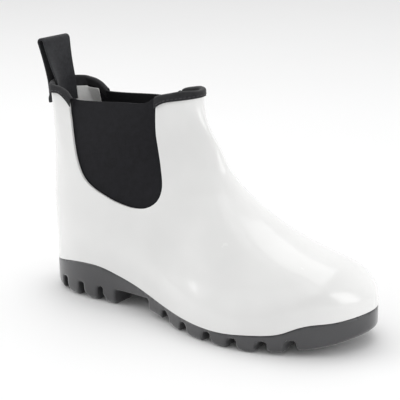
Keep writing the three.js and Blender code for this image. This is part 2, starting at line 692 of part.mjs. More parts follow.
// Outsole: a body with the outline's wall and a rounded bottom edge, then its bed and its tread are cut
const EDGE_STEPS = 4;
const EDGE_TALL = 1.6; // the rounded edge is this much taller than it is deep
const EDGE_CHANGE_FROM = 0.3 * LENGTH; // where the heel's edge starts to pass into the forefoot's
const EDGE_CHANGE_OVER = 0.1 * LENGTH;
const edgeSize = x => (
  THREE.MathUtils.lerp(HEEL_EDGE, FORE_EDGE, smooth((x - EDGE_CHANGE_FROM) / EDGE_CHANGE_OVER)));
const BREAST = 0.277 * LENGTH; // the heel's front face
const FORE_START = 0.405 * LENGTH; // the first lug under the joint
const UNDER_FLOOR = -RAND_HEIGHT; // tools and rough bodies start here
const OVER_SOLE = 2 * RAND_HEIGHT; // and end here
function soleBody() {
  const rings = [];
  const ring = (inset, height) => rings.push(drawnIn(inset).map((point, i) => (
    new THREE.Vector3(point.x, point.y, height(outline[i].x)))));
  const ground = x => (x < FORE_START ? 0 : treadHeight(x));
  ring(edgeSize, () => UNDER_FLOOR);
  for (let i = 0; i <= EDGE_STEPS; i++) {
    const turn = Math.PI / 2 * i / EDGE_STEPS;
    ring(
      x => edgeSize(x) * (1 - Math.sin(turn)),
      x => ground(x) + edgeSize(x) * EDGE_TALL * (1 - Math.cos(turn)),
    );
  }
  ring(0, () => OVER_SOLE);
  return loft(rings).intersect(under(randHeight)).intersect(over(ground));
}

// Grooves of the forefoot, from above: along in LENGTH, across in BALL_WIDTH, the outer side negative.
// A groove's rows follow one another from its end in the middle, or from side to side.
const GROOVE = 5; // width of a groove
const GROOVE_POINTS = [
  { groove: 'chevron', along: 0.5, across: 0.36 },
  { groove: 'chevron', along: 0.497, across: 0.11 },
  { groove: 'chevron', along: 0.55, across: -0.06 },
  { groove: 'chevron', along: 0.578, across: -0.12 },
  { groove: 'chevron', along: 0.614, across: 0.02 },
  { groove: 'chevron', along: 0.645, across: 0.27 },
  { groove: 'chevron', along: 0.64, across: 0.6 },
  { groove: 'inside the chevron', along: 0.562, across: 0.12 },
  { groove: 'inside the chevron', along: 0.575, across: 0.26 },
  { groove: 'inside the chevron', along: 0.565, across: 0.6 },
  { groove: 'ball, inner', along: 0.683, across: 0.01 },
  { groove: 'ball, inner', along: 0.724, across: 0.32 },
  { groove: 'ball, inner', along: 0.716, across: 0.6 },
  { groove: 'big toe', along: 0.734, across: -0.12 },
  { groove: 'big toe', along: 0.805, across: 0.34 },
  { groove: 'big toe', along: 0.795, across: 0.6 },
  { groove: 'toe', along: 0.86, across: 0.24 },
  { groove: 'toe', along: 0.83, across: 0.07 },
  { groove: 'toe', along: 0.834, across: -0.07 },
  { groove: 'toe', along: 0.85, across: -0.2 },
  { groove: 'toe', along: 0.863, across: -0.6 },
  { groove: 'joint, outer', along: 0.52, across: -0.13 },
  { groove: 'joint, outer', along: 0.49, across: -0.28 },
  { groove: 'joint, outer', along: 0.474, across: -0.6 },
  { groove: 'first of the ball, outer', along: 0.56, across: -0.26 },
  { groove: 'first of the ball, outer', along: 0.552, across: -0.6 },
  { groove: 'second of the ball, outer', along: 0.632, across: -0.24 },
  { groove: 'second of the ball, outer', along: 0.64, across: -0.6 },
  { groove: 'third of the ball, outer', along: 0.65, across: -0.08 },
  { groove: 'third of the ball, outer', along: 0.695, across: -0.21 },
  { groove: 'third of the ball, outer', along: 0.717, across: -0.6 },
  { groove: 'small toe', along: 0.772, across: -0.16 },
  { groove: 'small toe', along: 0.794, across: -0.6 },
];
const GROOVES = Object.values(Object.groupBy(GROOVE_POINTS, point => point.groove));
function groovePrism(points) {
  const line = points.map(point => new THREE.Vector2(point.along * LENGTH, point.across * BALL_WIDTH));
  const side = turn => line.map((point, i) => {
    const next = line[Math.min(i + 1, line.length - 1)];
    const before = line[Math.max(i - 1, 0)];
    const tangent = next.clone().sub(before).normalize();
    const half = turn * GROOVE / 2;
    return new THREE.Vector2(point.x - tangent.y * half, point.y + tangent.x * half);
  });
  return floorPrism([...side(1), ...side(-1).reverse()], UNDER_FLOOR, OVER_SOLE);
}

// Side cuts of the heel: along is the middle of each, from the heel's back
const HEEL_CUTS = [0.085, 0.155, 0.225];
const HEEL_CUT = 4.5; // width of a side cut
const HEEL_RING = 22; // how far the side cuts reach in
const POCKET_DEPTH = 6; // the hollow between the heel's two rows of lugs
const WAIST_EDGE = 15; // the waist's underside above the floor, at its edge
const WAIST_KEEL = 6.5; // and at its middle
const WAIST_REACH = 0.75 * WAIST_WIDTH; // from the middle to beyond the waist's edge
const KEEL_RISE = 1.5; // how soon the underside reaches its height on the way out
const KEEL_STEPS = 8;
const POCKET_TAPER = 0.7; // the hollow's back end as a share of its front end
function makeOutsole() {
  const bed = floorPrism(drawnIn(RIM), 0, OVER_SOLE).intersect(over(bedHeight));
  const treads = GROOVES.map(groovePrism)
    .reduce((all, one) => all.add(one))
    .intersect(under(x => treadHeight(x) + FORE_LUG));
  const waist = loft([FORE_START, BREAST].map(x => {
    const line = Array.from({ length: KEEL_STEPS + 1 }, (_, i) => {
      const share = 2 * i / KEEL_STEPS - 1;
      const height = THREE.MathUtils.lerp(WAIST_KEEL, WAIST_EDGE, Math.min(1, KEEL_RISE * share ** 2));
      return new THREE.Vector3(x, share * WAIST_REACH, height);
    });
    return [
      new THREE.Vector3(x, -WAIST_REACH, UNDER_FLOOR),
      ...line,
      new THREE.Vector3(x, WAIST_REACH, UNDER_FLOOR),
    ];
  }));
  const pocketSide = HEEL_WIDTH / 2 - HEEL_RING;
  let cuts = treads.add(waist);
  for (const along of HEEL_CUTS) {
    for (const side of [-1, 1]) {
      const back = along * LENGTH - HEEL_CUT / 2;
      const front = along * LENGTH + HEEL_CUT / 2;
      const ends = [side * pocketSide, side * HEEL_WIDTH];
      const right = Math.min(...ends);
      const left = Math.max(...ends);
      cuts = cuts.add(floorPrism([
        new THREE.Vector2(back, right),
        new THREE.Vector2(front, right),
        new THREE.Vector2(front, left),
        new THREE.Vector2(back, left),
      ], UNDER_FLOOR, HEEL_LUG));
    }
  }
  cuts = cuts.add(floorPrism([
    new THREE.Vector2(HEEL_RING, -pocketSide * POCKET_TAPER),
    new THREE.Vector2(FORE_START, -pocketSide),
    new THREE.Vector2(FORE_START, pocketSide),
    new THREE.Vector2(HEEL_RING, pocketSide * POCKET_TAPER),
  ], UNDER_FLOOR, POCKET_DEPTH));
  return soleBody().subtract(bed).subtract(cuts);
}

// Insole: a loose foot bed inside the rim
function makeInsole() {
  return floorPrism(drawnIn(RIM + GAP), 0, OVER_SOLE)
    .intersect(over(x => bedHeight(x) + GAP))
    .intersect(under(x => bedHeight(x) + GAP + INSOLE));
}

const bindings = makeBindings();
const gores = makeGores();
const pieces = [
  { name: 'outsole', solid: makeOutsole(), color: 0x6d6d6f, roughness: 0.6 },
  { name: 'upper', solid: makeUpper(), color: 0xf0f0ef, roughness: 0.25 },
  { name: 'gore_lateral', solid: gores.lateral, color: 0x26272b, roughness: 0.9 },
  { name: 'gore_medial', solid: gores.medial, color: 0x26272b, roughness: 0.9 },
  { name: 'binding_front', solid: bindings.front, color: 0x3c3c3f, roughness: 0.85 },
  { name: 'binding_back', solid: bindings.back, color: 0x3c3c3f, roughness: 0.85 },
  { name: 'pull_loop', solid: makeLoop(), color: 0x2f3033, roughness: 0.9 },
  { name: 'lining_label', solid: makeLabel(), color: 0xe8e8e6, roughness: 0.9 },
  { name: 'insole', solid: makeInsole(), color: 0x8a8a88, roughness: 0.95 },
];

const boot = new THREE.Group();
for (const piece of pieces) {
  const mesh = piece.solid.getMesh();
  const geometry = new THREE.BufferGeometry();
  geometry.setAttribute('position', new THREE.BufferAttribute(mesh.vertProperties, 3));
  geometry.setIndex(new THREE.BufferAttribute(mesh.triVerts, 1));
  geometry.computeVertexNormals();
  const node = new THREE.Mesh(geometry, new THREE.MeshStandardMaterial({
    color: piece.color,
    roughness: piece.roughness,
    metalness: 0,
  }));
  node.name = piece.name;
  boot.add(node);
}
const box = new THREE.Box3().setFromObject(boot);
const middle = box.getCenter(new THREE.Vector3());
boot.position.set(-middle.x, -middle.y, -box.min.z);
boot.updateMatrixWorld(true);

export default boot;
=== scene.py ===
# %% [markdown]
# # A white chelsea rain boot
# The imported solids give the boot's sizes and places. This lesson dresses them: each visible piece is drawn
# again from the same named sizes, but finely, with rounded edges, and gets the finish of the real material.

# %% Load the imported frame
import math

import bmesh
import bpy
import numpy as np
from mathutils import Matrix, Vector


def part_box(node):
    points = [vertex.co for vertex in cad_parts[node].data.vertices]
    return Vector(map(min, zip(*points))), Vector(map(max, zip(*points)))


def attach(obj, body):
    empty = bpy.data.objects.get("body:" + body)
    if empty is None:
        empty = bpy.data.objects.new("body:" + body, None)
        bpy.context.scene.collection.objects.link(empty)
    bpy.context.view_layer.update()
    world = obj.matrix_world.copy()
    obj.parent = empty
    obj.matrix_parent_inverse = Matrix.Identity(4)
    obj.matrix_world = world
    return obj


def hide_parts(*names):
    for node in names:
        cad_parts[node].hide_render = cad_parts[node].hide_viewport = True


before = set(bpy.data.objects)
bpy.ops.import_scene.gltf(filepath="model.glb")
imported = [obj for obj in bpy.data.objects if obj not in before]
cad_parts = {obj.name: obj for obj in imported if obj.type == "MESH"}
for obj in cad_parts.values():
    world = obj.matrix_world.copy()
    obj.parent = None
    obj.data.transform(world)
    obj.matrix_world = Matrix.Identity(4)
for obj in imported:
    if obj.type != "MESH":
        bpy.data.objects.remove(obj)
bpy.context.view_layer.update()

print("solids:", sorted(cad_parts))

# %% [markdown]
# ## The boot's own sizes
# A shoemaker works in millimetres, so the shapes are worked out in millimetres from the back of the heel,
# and one function at the end moves them into the frame, which is in metres. The driving sizes are those of
# the solids.

# %% Driving sizes in millimetres
LENGTH = 276  # the sole, from heel to toe
HEEL_WIDTH = 71
WAIST_WIDTH = 63
BALL_WIDTH = 103
INSTEP_HEIGHT = 110
SHAFT_HEIGHT = 171  # about the collar's highest point
SHAFT_WIDTH = 62
SHAFT_DEPTH = 142  # from its back to its front
RAND_HEIGHT = 30
HEEL_LUG = 12.5
FORE_LUG = 6.5
TOE_SPRING = 12  # how far the toe stands off the floor
RIM = 5  # the sole's rim round the foot bed
HEEL_EDGE = 4  # the rounding of the sole's lower edge, at the heel and at the forefoot
FORE_EDGE = 2.2
WALL = 2.2
GORE = 1.6
GORE_LAP = 6  # how far the gore reaches behind the shell
TAPE = 1.0
LOOP_WIDTH = 24
WEBBING = 1.5
LOOP_ASIDE = -2  # the loop is sewn a little to the outer side
LOOP_RISE = 32.2  # above the back peak
LOOP_LEAN = 5.4  # how far its fold leans back
LOOP_BELLY = -0.6  # how far its legs bow out: below 0 they come closer
LOOP_FOLD = 3  # the fold's radius
LOOP_TAIL = 9.7  # its outer end hangs this far under the tape
LOOP_SPREAD = 5.6  # how much wider it looks at the fold
LOOP_DRIFT = 2.8  # how far it leans to the inner side there
INSOLE = 3.5
LABEL_FROM = 5  # the patch starts this far to the inner side
LABEL_HEIGHT = 15
LABEL = 0.7
GAP = 0.3  # between pieces that touch
MM = 0.001

# %% [markdown]
# ## Tables that hold the shape
# The last is the form that a shoe is made over. It is kept as a few sections, from the toe over the foot and
# up the shaft, and each line that shows from the side is a short list of points. Lengths are shares of the
# sizes above, so that the form follows when a size changes.

# %% The sole's outline, and lines seen from the side
SOLE_OUTLINE = [  # along, across, the width it is a share of
    (0, 0, HEEL_WIDTH), (0.038, -0.36, HEEL_WIDTH), (0.13, -0.5, HEEL_WIDTH), (0.25, -0.495, HEEL_WIDTH),
    (0.362, -0.56, WAIST_WIDTH), (0.49, -0.42, BALL_WIDTH), (0.645, -0.51, BALL_WIDTH),
    (0.77, -0.475, BALL_WIDTH), (0.868, -0.37, BALL_WIDTH), (0.945, -0.22, BALL_WIDTH),
    (0.985, -0.06, BALL_WIDTH), (1, 0.09, BALL_WIDTH), (0.978, 0.275, BALL_WIDTH), (0.92, 0.405, BALL_WIDTH),
    (0.83, 0.475, BALL_WIDTH), (0.715, 0.49, BALL_WIDTH), (0.54, 0.4, BALL_WIDTH), (0.385, 0.46, WAIST_WIDTH),
    (0.25, 0.43, HEEL_WIDTH), (0.13, 0.5, HEEL_WIDTH), (0.038, 0.36, HEEL_WIDTH),
]
RAND_LINE = [  # along, up: where upper and sole meet, with the step into the toe's bumper
    (0, 0.72), (0.05, 0.81), (0.12, 0.94), (0.18, 0.99), (0.23, 0.97), (0.28, 0.87), (0.35, 0.71),
    (0.42, 0.55), (0.49, 0.44), (0.56, 0.38), (0.63, 0.36), (0.7, 0.375), (0.76, 0.435), (0.81, 0.49),
    (0.845, 0.57), (0.875, 0.7), (0.905, 0.79), (0.95, 0.83), (1, 0.92),
]
BED_LINE = [  # along, up: the foot bed
    (0, 0.62), (0.15, 0.65), (0.3, 0.6), (0.42, 0.44), (0.55, 0.31), (0.65, 0.3), (0.75, 0.33), (0.85, 0.42),
    (0.93, 0.5), (1, 0.68),
]
TREAD_LINE = [  # along, up: the underside from the joint to the toe
    (0.38, 0.42), (0.44, 0.3), (0.48, 0.15), (0.51, 0.03), (0.54, 0), (0.72, 0), (0.78, 0.06), (0.84, 0.2),
    (0.9, 0.42), (0.95, 0.66), (1, 1),
]
COLLAR_LINE = [  # along, up: the collar's edge, with its back and front peaks
    (-0.085, 0.96), (0.028, 0.96), (0.07, 0.955), (0.109, 0.951), (0.141, 0.943), (0.169, 0.93),
    (0.19, 0.914), (0.211, 0.905), (0.246, 0.903), (0.338, 0.907), (0.465, 0.915), (0.592, 0.922),
    (0.676, 0.926), (0.704, 0.933), (0.732, 0.95), (0.761, 0.964), (0.796, 0.974), (0.838, 0.982),
    (0.887, 0.991), (0.93, 0.994), (0.958, 0.992), (0.986, 0.988), (1.085, 0.982),
]
TAPE_LINE = [  # along, up: the lower edge of the collar's tape
    (-0.085, 0.914), (0.028, 0.915), (0.07, 0.919), (0.113, 0.918), (0.148, 0.904), (0.176, 0.888),
    (0.211, 0.863), (0.268, 0.836), (0.563, 0.848), (0.69, 0.883), (0.739, 0.901), (0.768, 0.918),
    (0.796, 0.933), (0.831, 0.943), (0.88, 0.951), (0.923, 0.957), (0.972, 0.963), (1.085, 0.964),
]
CUT_OUT = [  # along, up: the side opening, from its back corner down and round to its front corner
    (0.19, 1.029), (0.1945, 0.877), (0.2155, 0.816), (0.2415, 0.749), (0.281, 0.658), (0.323, 0.591),
    (0.364, 0.554), (0.421, 0.525), (0.48, 0.505), (0.541, 0.487), (0.628, 0.472), (0.698, 0.472),
    (0.758, 0.485), (0.807, 0.519), (0.823, 0.573), (0.804, 0.661), (0.78, 0.749), (0.766, 0.836),
    (0.765, 1.029),
]

# %% Sections of the upper: low and high point, half widths, and how full each is
SECTION_COLUMNS = (
    "low_x", "low_z", "high_x", "high_z", "outer", "inner", "widest", "below", "above", "ridge")
FOOT_SECTIONS = [
    (0.99, 0.145, 0.999, 0.2, 0.058, 0.058, 0.5, 0.71, 0.71, 0.087),
    (0.978, 0.064, 0.991, 0.296, 0.194, 0.18, 0.5, 0.74, 0.72, 0.087),
    (0.955, 0, 0.973, 0.38, 0.301, 0.272, 0.48, 0.76, 0.72, 0.083),
    (0.92, -0.059, 0.946, 0.465, 0.374, 0.34, 0.46, 0.78, 0.72, 0.073),
    (0.87, -0.091, 0.919, 0.519, 0.427, 0.408, 0.45, 0.8, 0.73, 0.063),
    (0.801, -0.091, 0.863, 0.565, 0.471, 0.447, 0.44, 0.82, 0.71, 0.049),
    (0.714, -0.091, 0.783, 0.63, 0.495, 0.466, 0.42, 0.84, 0.68, 0.039),
    (0.62, -0.091, 0.697, 0.734, 0.5, 0.456, 0.4, 0.85, 0.65, 0.029),
    (0.511, -0.091, 0.63, 0.865, 0.456, 0.422, 0.4, 0.86, 0.62, 0.019),
    (0.391, -0.091, 0.59, 0.99, 0.398, 0.369, 0.41, 0.85, 0.58, 0.01),
    (0.25, -0.091, 0.57, 1.074, 0.364, 0.345, 0.42, 0.84, 0.56, 0),
    (0.109, -0.091, 0.555, 1.145, 0.359, 0.345, 0.42, 0.81, 0.55, 0),
]
SHAFT_SECTIONS = [
    (0.021, -0.035, 1.054, 0.77, 0.589, 0.573, 0.42, 0.79, 0.54, 0),
    (-0.014, 0.129, 1.03, 0.798, 0.573, 0.565, 0.41, 0.8, 0.53, 0),
    (-0.02, 0.304, 1.006, 0.83, 0.556, 0.548, 0.39, 0.82, 0.53, 0),
    (-0.013, 0.468, 0.985, 0.863, 0.529, 0.521, 0.37, 0.84, 0.56, 0),
    (-0.001, 0.626, 0.97, 0.902, 0.477, 0.473, 0.34, 0.87, 0.63, 0),
    (-0.001, 0.76, 0.963, 0.941, 0.413, 0.413, 0.29, 0.91, 0.73, 0),
    (-0.014, 0.877, 0.964, 0.979, 0.355, 0.355, 0.24, 0.95, 0.82, 0),
    (-0.028, 0.965, 0.966, 1.017, 0.323, 0.323, 0.22, 0.97, 0.85, 0),
    (-0.046, 1.058, 0.969, 1.064, 0.313, 0.313, 0.22, 0.97, 0.85, 0),
]


# %% [markdown]
# ## Smooth curves
# A draughtsman bends a thin batten through marked points. A natural cubic spline does the same: it passes
# through every point with no corner. Blender's own curves could draw these lines, but here they are measured
# as often as they are drawn, so each is a function that works on whole arrays at once.

# %% Splines and profiles
OUTLINE_POINTS = 240
RING_LAP = 4  # points by which a closed curve runs on past its ends, so that it joins smoothly


def spline_through(knots, values):
    knots = np.asarray(knots, float)
    values = np.asarray(values, float)
    count = len(knots)
    step = np.diff(knots)
    system = np.eye(count)
    jump = np.zeros(count)
    for i in range(1, count - 1):
        system[i, i - 1:i + 2] = step[i - 1], 2 * (step[i - 1] + step[i]), step[i]
        jump[i] = 6 * ((values[i + 1] - values[i]) / step[i] - (values[i] - values[i - 1]) / step[i - 1])
    bend = np.linalg.solve(system, jump)

    def curve(at):
        at = np.asarray(at, float)
        i = np.clip(np.searchsorted(knots, at) - 1, 0, count - 2)
        right = (at - knots[i]) / step[i]
        left = 1 - right
        sag = (left ** 3 - left) * bend[i] + (right ** 3 - right) * bend[i + 1]
        return left * values[i] + right * values[i + 1] + sag * step[i] ** 2 / 6

    return curve


def profile(rows, along_size, up_size):
    along = [row[0] * along_size for row in rows]
    line = spline_through(along, [row[1] * up_size for row in rows])
    return lambda x: line(np.clip(x, along[0], along[-1]))


def closed_curve(points, count):
    points = np.asarray(points, float)
    ring = np.vstack([points[-RING_LAP:], points, points[:RING_LAP + 1]])
    knots = np.concatenate([[0], np.cumsum(np.linalg.norm(np.diff(ring, axis=0), axis=1))])
    first, last = knots[RING_LAP], knots[RING_LAP + len(points)]
    at = first + (last - first) * np.arange(count) / count
    return np.stack([spline_through(knots, ring[:, k])(at) for k in (0, 1)], 1)


def smooth(share):
    """Eases a share in and out between 0 and 1."""
    share = np.clip(share, 0, 1)
    return share * share * (3 - 2 * share)


rand_height = profile(RAND_LINE, LENGTH, RAND_HEIGHT)
bed_height = profile(BED_LINE, LENGTH, RAND_HEIGHT)
tread_line = profile(TREAD_LINE, LENGTH, TOE_SPRING)
collar_height = profile(COLLAR_LINE, SHAFT_DEPTH, SHAFT_HEIGHT)
tape_height = profile(TAPE_LINE, SHAFT_DEPTH, SHAFT_HEIGHT)


def tread_height(x):
    return np.maximum(0, tread_line(x))


def sole_ring(count):
    """The sole's outline as evenly spread points in millimetres."""
    return closed_curve([(along * LENGTH, across * width) for along, across, width in SOLE_OUTLINE], count)


outline = sole_ring(OUTLINE_POINTS)
print("sole outline:", np.ptp(outline, axis=0).round(1), "mm")

# %% [markdown]
# ## From the heel to the frame
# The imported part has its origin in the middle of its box. The outsole's own box says how far that is from the
# back of the heel. The solid's outline has fewer points, so it is drawn with as few here, to reach as far.

# %% Find the shift between the two
CAD_OUTLINE_POINTS = 80
sole_low = np.array(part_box("outsole")[0]) / MM
SHIFT = np.array([*(sole_ring(CAD_OUTLINE_POINTS).min(0) - sole_low[:2]), 0.0])
print("heel back is at", (-SHIFT).round(2), "mm of the frame")


# %% [markdown]
# ## The upper's surface
# Each section is a ring through eight points. Near the sole the surface eases onto the sole's outline,
# because a moulded shell and its sole share one edge. A subdivided cage could give this form as well, but a
# surface that is a function can be read at any place, which lets gores, tape and loop follow it exactly.

# %% Sections as smooth functions of the row
UNIT_OF = {"low_x": "deep", "high_x": "deep", "low_z": "tall", "high_z": "tall",
           "outer": "wide", "inner": "wide", "ridge": "wide"}


def section_rows(rows, deep, tall, wide):
    return [dict(zip(SECTION_COLUMNS, row), deep=deep, tall=tall, wide=wide) for row in rows]


sections = section_rows(FOOT_SECTIONS, LENGTH, INSTEP_HEIGHT, BALL_WIDTH)
sections += section_rows(SHAFT_SECTIONS, SHAFT_DEPTH, SHAFT_HEIGHT, SHAFT_WIDTH)
LAST_ROW = len(sections) - 1
SHAFT_ROW = len(FOOT_SECTIONS)
shape = {
    name: spline_through(range(len(sections)), [s[name] * s.get(UNIT_OF.get(name), 1) for s in sections])
    for name in SECTION_COLUMNS
}
print("sections:", len(sections), "of which the shaft has", LAST_ROW - SHAFT_ROW + 1)

# %% From the foot's middle line to the outline
FULL_TURN = 2 * math.pi
TINY = 1e-9
POINTS_IN_RING = 8
QUARTER = (1 - math.sqrt(0.5)) / 2
EASE_UP = 32  # above the rand, the height over which the surface eases onto the sole's outline
EASE_DOWN = 12
EDGE_SLACK = 1e-6  # a ray that meets a corner of the outline counts for both its edges
SPINE_BACK = np.array([0.14 * LENGTH, 0])  # the foot's middle line, from which the outline is reached
SPINE_FRONT = np.array([0.8 * LENGTH, 0.03 * BALL_WIDTH])
NORMAL_STEP = 1e-3


def ring_wave(values, turn):
    """A smooth closed wave through eight values, spread evenly round a turn."""
    total = 0
    for k in range(POINTS_IN_RING // 2 + 1):
        weight = (1 if k in (0, POINTS_IN_RING // 2) else 2) / POINTS_IN_RING
        angles = FULL_TURN * k * np.arange(POINTS_IN_RING) / POINTS_IN_RING
        cosine = sum(weight * v * math.cos(a) for v, a in zip(values, angles))
        sine = sum(weight * v * math.sin(a) for v, a in zip(values, angles))
        total = total + cosine * np.cos(k * turn) + sine * np.sin(k * turn)
    return total


def spine_of(points):
    """The nearest place on the foot's middle line."""
    spine = SPINE_FRONT - SPINE_BACK
    share = np.clip((points - SPINE_BACK) @ spine / (spine @ spine), 0, 1)
    return SPINE_BACK + share[:, None] * spine


def outline_reach(start, direction):
    """How far it is from each start to the sole's outline."""
    reach = np.zeros(len(start))
    for corner, edge in zip(outline, np.roll(outline, -1, 0) - outline):
        across = direction[:, 0] * edge[1] - direction[:, 1] * edge[0]
        across = np.where(np.abs(across) < TINY, TINY, across)
        offset = corner - start
        share = (offset[:, 0] * direction[:, 1] - offset[:, 1] * direction[:, 0]) / across
        distance = (offset[:, 0] * edge[1] - offset[:, 1] * edge[0]) / across
        hit = (share >= -EDGE_SLACK) & (share <= 1 + EDGE_SLACK) & (distance > reach)
        reach = np.where(hit, distance, reach)
    return reach


# %% Seat the upper on the sole
def seated(points):
    """The points with those near the rand eased onto the sole's outline."""
    above = points[:, 2] - rand_height(points[:, 0])
    near = (above <= EASE_UP) & (above >= -EASE_DOWN)
    flat = points[near, :2]
    own = np.where(above[near] > 0, smooth(above[near] / EASE_UP), smooth(-above[near] / EASE_DOWN))
    foot = spine_of(flat)
    out = flat - foot
    distance = np.linalg.norm(out, axis=1)
    out = out / distance[:, None]
    reach = outline_reach(foot, out)
    placed = points.copy()
    placed[near, :2] = foot + out * (reach + (distance - reach) * own)[:, None]
    return placed


# %% The upper's surface and its normal
def surface(row, turn):
    """row runs from the toe to the collar, turn once round, from the back or underside by the outer side."""
    row, turn = np.broadcast_arrays(np.asarray(row, float), np.asarray(turn, float))
    at = {name: curve(row) for name, curve in shape.items()}
    low_quarter = 2 * at["widest"] * QUARTER
    high_quarter = 1 - 2 * (1 - at["widest"]) * QUARTER
    none = np.zeros(row.shape)
    across = ring_wave([none, -at["outer"] * at["below"], -at["outer"], -at["outer"] * at["above"], none,
                        at["inner"] * at["above"], at["inner"], at["inner"] * at["below"]], turn)
    up = ring_wave([none, low_quarter, at["widest"], high_quarter, none + 1,
                    high_quarter, at["widest"], low_quarter], turn)
    return seated(np.stack([
        at["low_x"] + (at["high_x"] - at["low_x"]) * up,
        across + at["ridge"],
        at["low_z"] + (at["high_z"] - at["low_z"]) * up,
    ], 1))


def surface_normal(row, turn):
    above = np.minimum(row + NORMAL_STEP, LAST_ROW)
    below = np.maximum(row - NORMAL_STEP, 0)
    along = surface(above, turn) - surface(below, turn)
    around = surface(row, turn + NORMAL_STEP) - surface(row, turn - NORMAL_STEP)
    normal = np.cross(around, along)
    return normal / np.linalg.norm(normal, axis=1)[:, None]


heel_back = surface([SHAFT_ROW], [0.0])[0]
print("back of the heel at the lowest shaft section:", heel_back.round(1), "mm")


# %% [markdown]
# ## Cutting a sheet cleanly
# A Boolean would leave slivers along every cut, which spoil a glossy surface and its bevels. Here a grid is
# cut where a function of the place changes sign. A grid point that lies close to the line is first moved onto
# it, so no sliver is left.

# %% Cut a grid along a line
SNAP = 0.3  # share of a grid step within which a point moves onto the line
NOT_MOVED = (1, None)


def snap_to_line(place, value, pairs):
    """Moves the grid points that lie close to the line onto it. pairs holds both ends of every grid step."""
    moved = {}
    for first, second, lap in pairs:
        for k in np.nonzero(value[first] * value[second] < 0)[0]:
            a, b = first[k], second[k]
            share = value[a] / (value[a] - value[b])
            step = place[b] + [0, lap[k]] - place[a]
            if share < SNAP and share < moved.get(a, NOT_MOVED)[0]:
                moved[a] = (share, place[a] + step * share)
            if share > 1 - SNAP and 1 - share < moved.get(b, NOT_MOVED)[0]:
                moved[b] = (1 - share, place[b] - step * (1 - share))
    for point, (_, target) in moved.items():
        place[point] = target
        value[point] = 0


# %% Trimmed grids
def trimmed(us, vs, keep, closed):
    """Grid points and faces where keep(u, v) > 0. closed joins the last v to the first, a turn later."""
    rows, cols = len(us), len(vs)
    place = np.stack(np.meshgrid(us, vs, indexing="ij"), -1).reshape(-1, 2).astype(float)
    value = keep(place[:, 0], place[:, 1])
    index = np.arange(rows * cols).reshape(rows, cols)
    here = index if closed else index[:, :-1]
    beside = np.roll(index, -1, 1) if closed else index[:, 1:]
    full_laps = np.zeros(here.shape)
    full_laps[:, -1] = FULL_TURN if closed else 0
    snap_to_line(place, value, [
        (index[:-1].ravel(), index[1:].ravel(), np.zeros(index[:-1].size)),
        (here.ravel(), beside.ravel(), full_laps.ravel())])
    points = list(place)
    cuts = {}

    def cut(a, b, lap):
        key = (min(a, b), max(a, b))
        if key not in cuts:
            share = value[a] / (value[a] - value[b])
            cuts[key] = len(points)
            points.append(place[a] + (place[b] + [0, lap] - place[a]) * share)
        return cuts[key]

    def cut_face(corners, laps):
        face = []
        for k in range(4):
            a, b = corners[k], corners[(k + 1) % 4]
            if value[a] >= 0:
                face.append(a)
            if value[a] * value[b] < 0:
                face.append(cut(a, b, laps[(k + 1) % 4] - laps[k]))
        return face

    faces = []
    for i in range(rows - 1):
        for j in range(here.shape[1]):
            over = (j + 1) % cols
            lap = FULL_TURN if over < j else 0
            corners = [index[i, j], index[i, over], index[i + 1, over], index[i + 1, j]]
            if value[corners].max() <= 0:
                continue
            face = corners if value[corners].min() >= 0 else cut_face(corners, [0, lap, lap, 0])
            if len(face) > 2:
                faces.append(face)
    used = sorted(set(i for face in faces for i in face))
    renumber = {old: new for new, old in enumerate(used)}
    params = np.array([points[i] for i in used])
    return params[:, 0], params[:, 1], [[renumber[i] for i in face] for face in faces]


# %% A wall between two sheets
def shell(outer, inner, faces):
    """Closes the space between two sheets with the same faces, with a rim round every open edge."""
    count = len(outer)
    edges = {(a, b): True for face in faces for a, b in zip(face, face[1:] + face[:1])}
    rim = [[b, a, a + count, b + count] for a, b in edges if (b, a) not in edges]
    back = [[i + count for i in reversed(face)] for face in faces]
    return np.vstack([outer, inner]), list(faces) + back + rim


# %% [markdown]
# ## From points to a finished piece
# Every piece goes the same way: points and faces become a mesh, its edges get their moulded or sewn radius
# from a bevel, and the modifiers are worked into the mesh. Cloth gets a flat pattern's coordinates as its UV
# map, as a cutter lays it on the table, so that weaves follow the piece.

# %% A piece from points in the boot's millimetres
SMOOTH_ANGLE = math.radians(40)
BEVEL_FROM = math.radians(50)  # sharper edges than this are rounded
SMOOTH_BEVELLED = math.radians(60)
SHAFT_RADIUS = SHAFT_DEPTH / 3  # of a round shaft with about the same girth
ROW_TALL = SHAFT_HEIGHT / (LAST_ROW - SHAFT_ROW + 1)


def laid_flat(rows, turns):
    """The same place on a pattern piece, in millimetres round and up, for both sheets of a shell."""
    flat = np.stack([turns * SHAFT_RADIUS, rows * ROW_TALL], 1)
    return np.vstack([flat, flat])


def new_piece(name, points, faces, material, uv=None):
    mesh = bpy.data.meshes.new(name)
    mesh.from_pydata(((np.asarray(points) - SHIFT) * MM).tolist(), [], [list(map(int, f)) for f in faces])
    mesh.validate()
    if uv is not None:
        layer = mesh.uv_layers.new(name="UVMap")
        corner = np.zeros(len(mesh.loops), np.int32)
        mesh.loops.foreach_get("vertex_index", corner)
        layer.data.foreach_set("uv", (np.asarray(uv)[corner] * MM).astype(np.float32).ravel())
    mesh.polygons.foreach_set("use_smooth", [True] * len(mesh.polygons))
    mesh.set_sharp_from_angle(angle=SMOOTH_ANGLE)
    mesh.materials.append(material)
    piece = bpy.data.objects.new(name, mesh)
    bpy.context.scene.collection.objects.link(piece)
    return piece


def applied(piece):
    """The piece with its modifiers worked into a plain mesh."""
    evaluated = piece.evaluated_get(bpy.context.evaluated_depsgraph_get())
    mesh = bpy.data.meshes.new_from_object(evaluated)
    mesh.name = piece.name
    piece.modifiers.clear()
    piece.data = mesh
    return piece


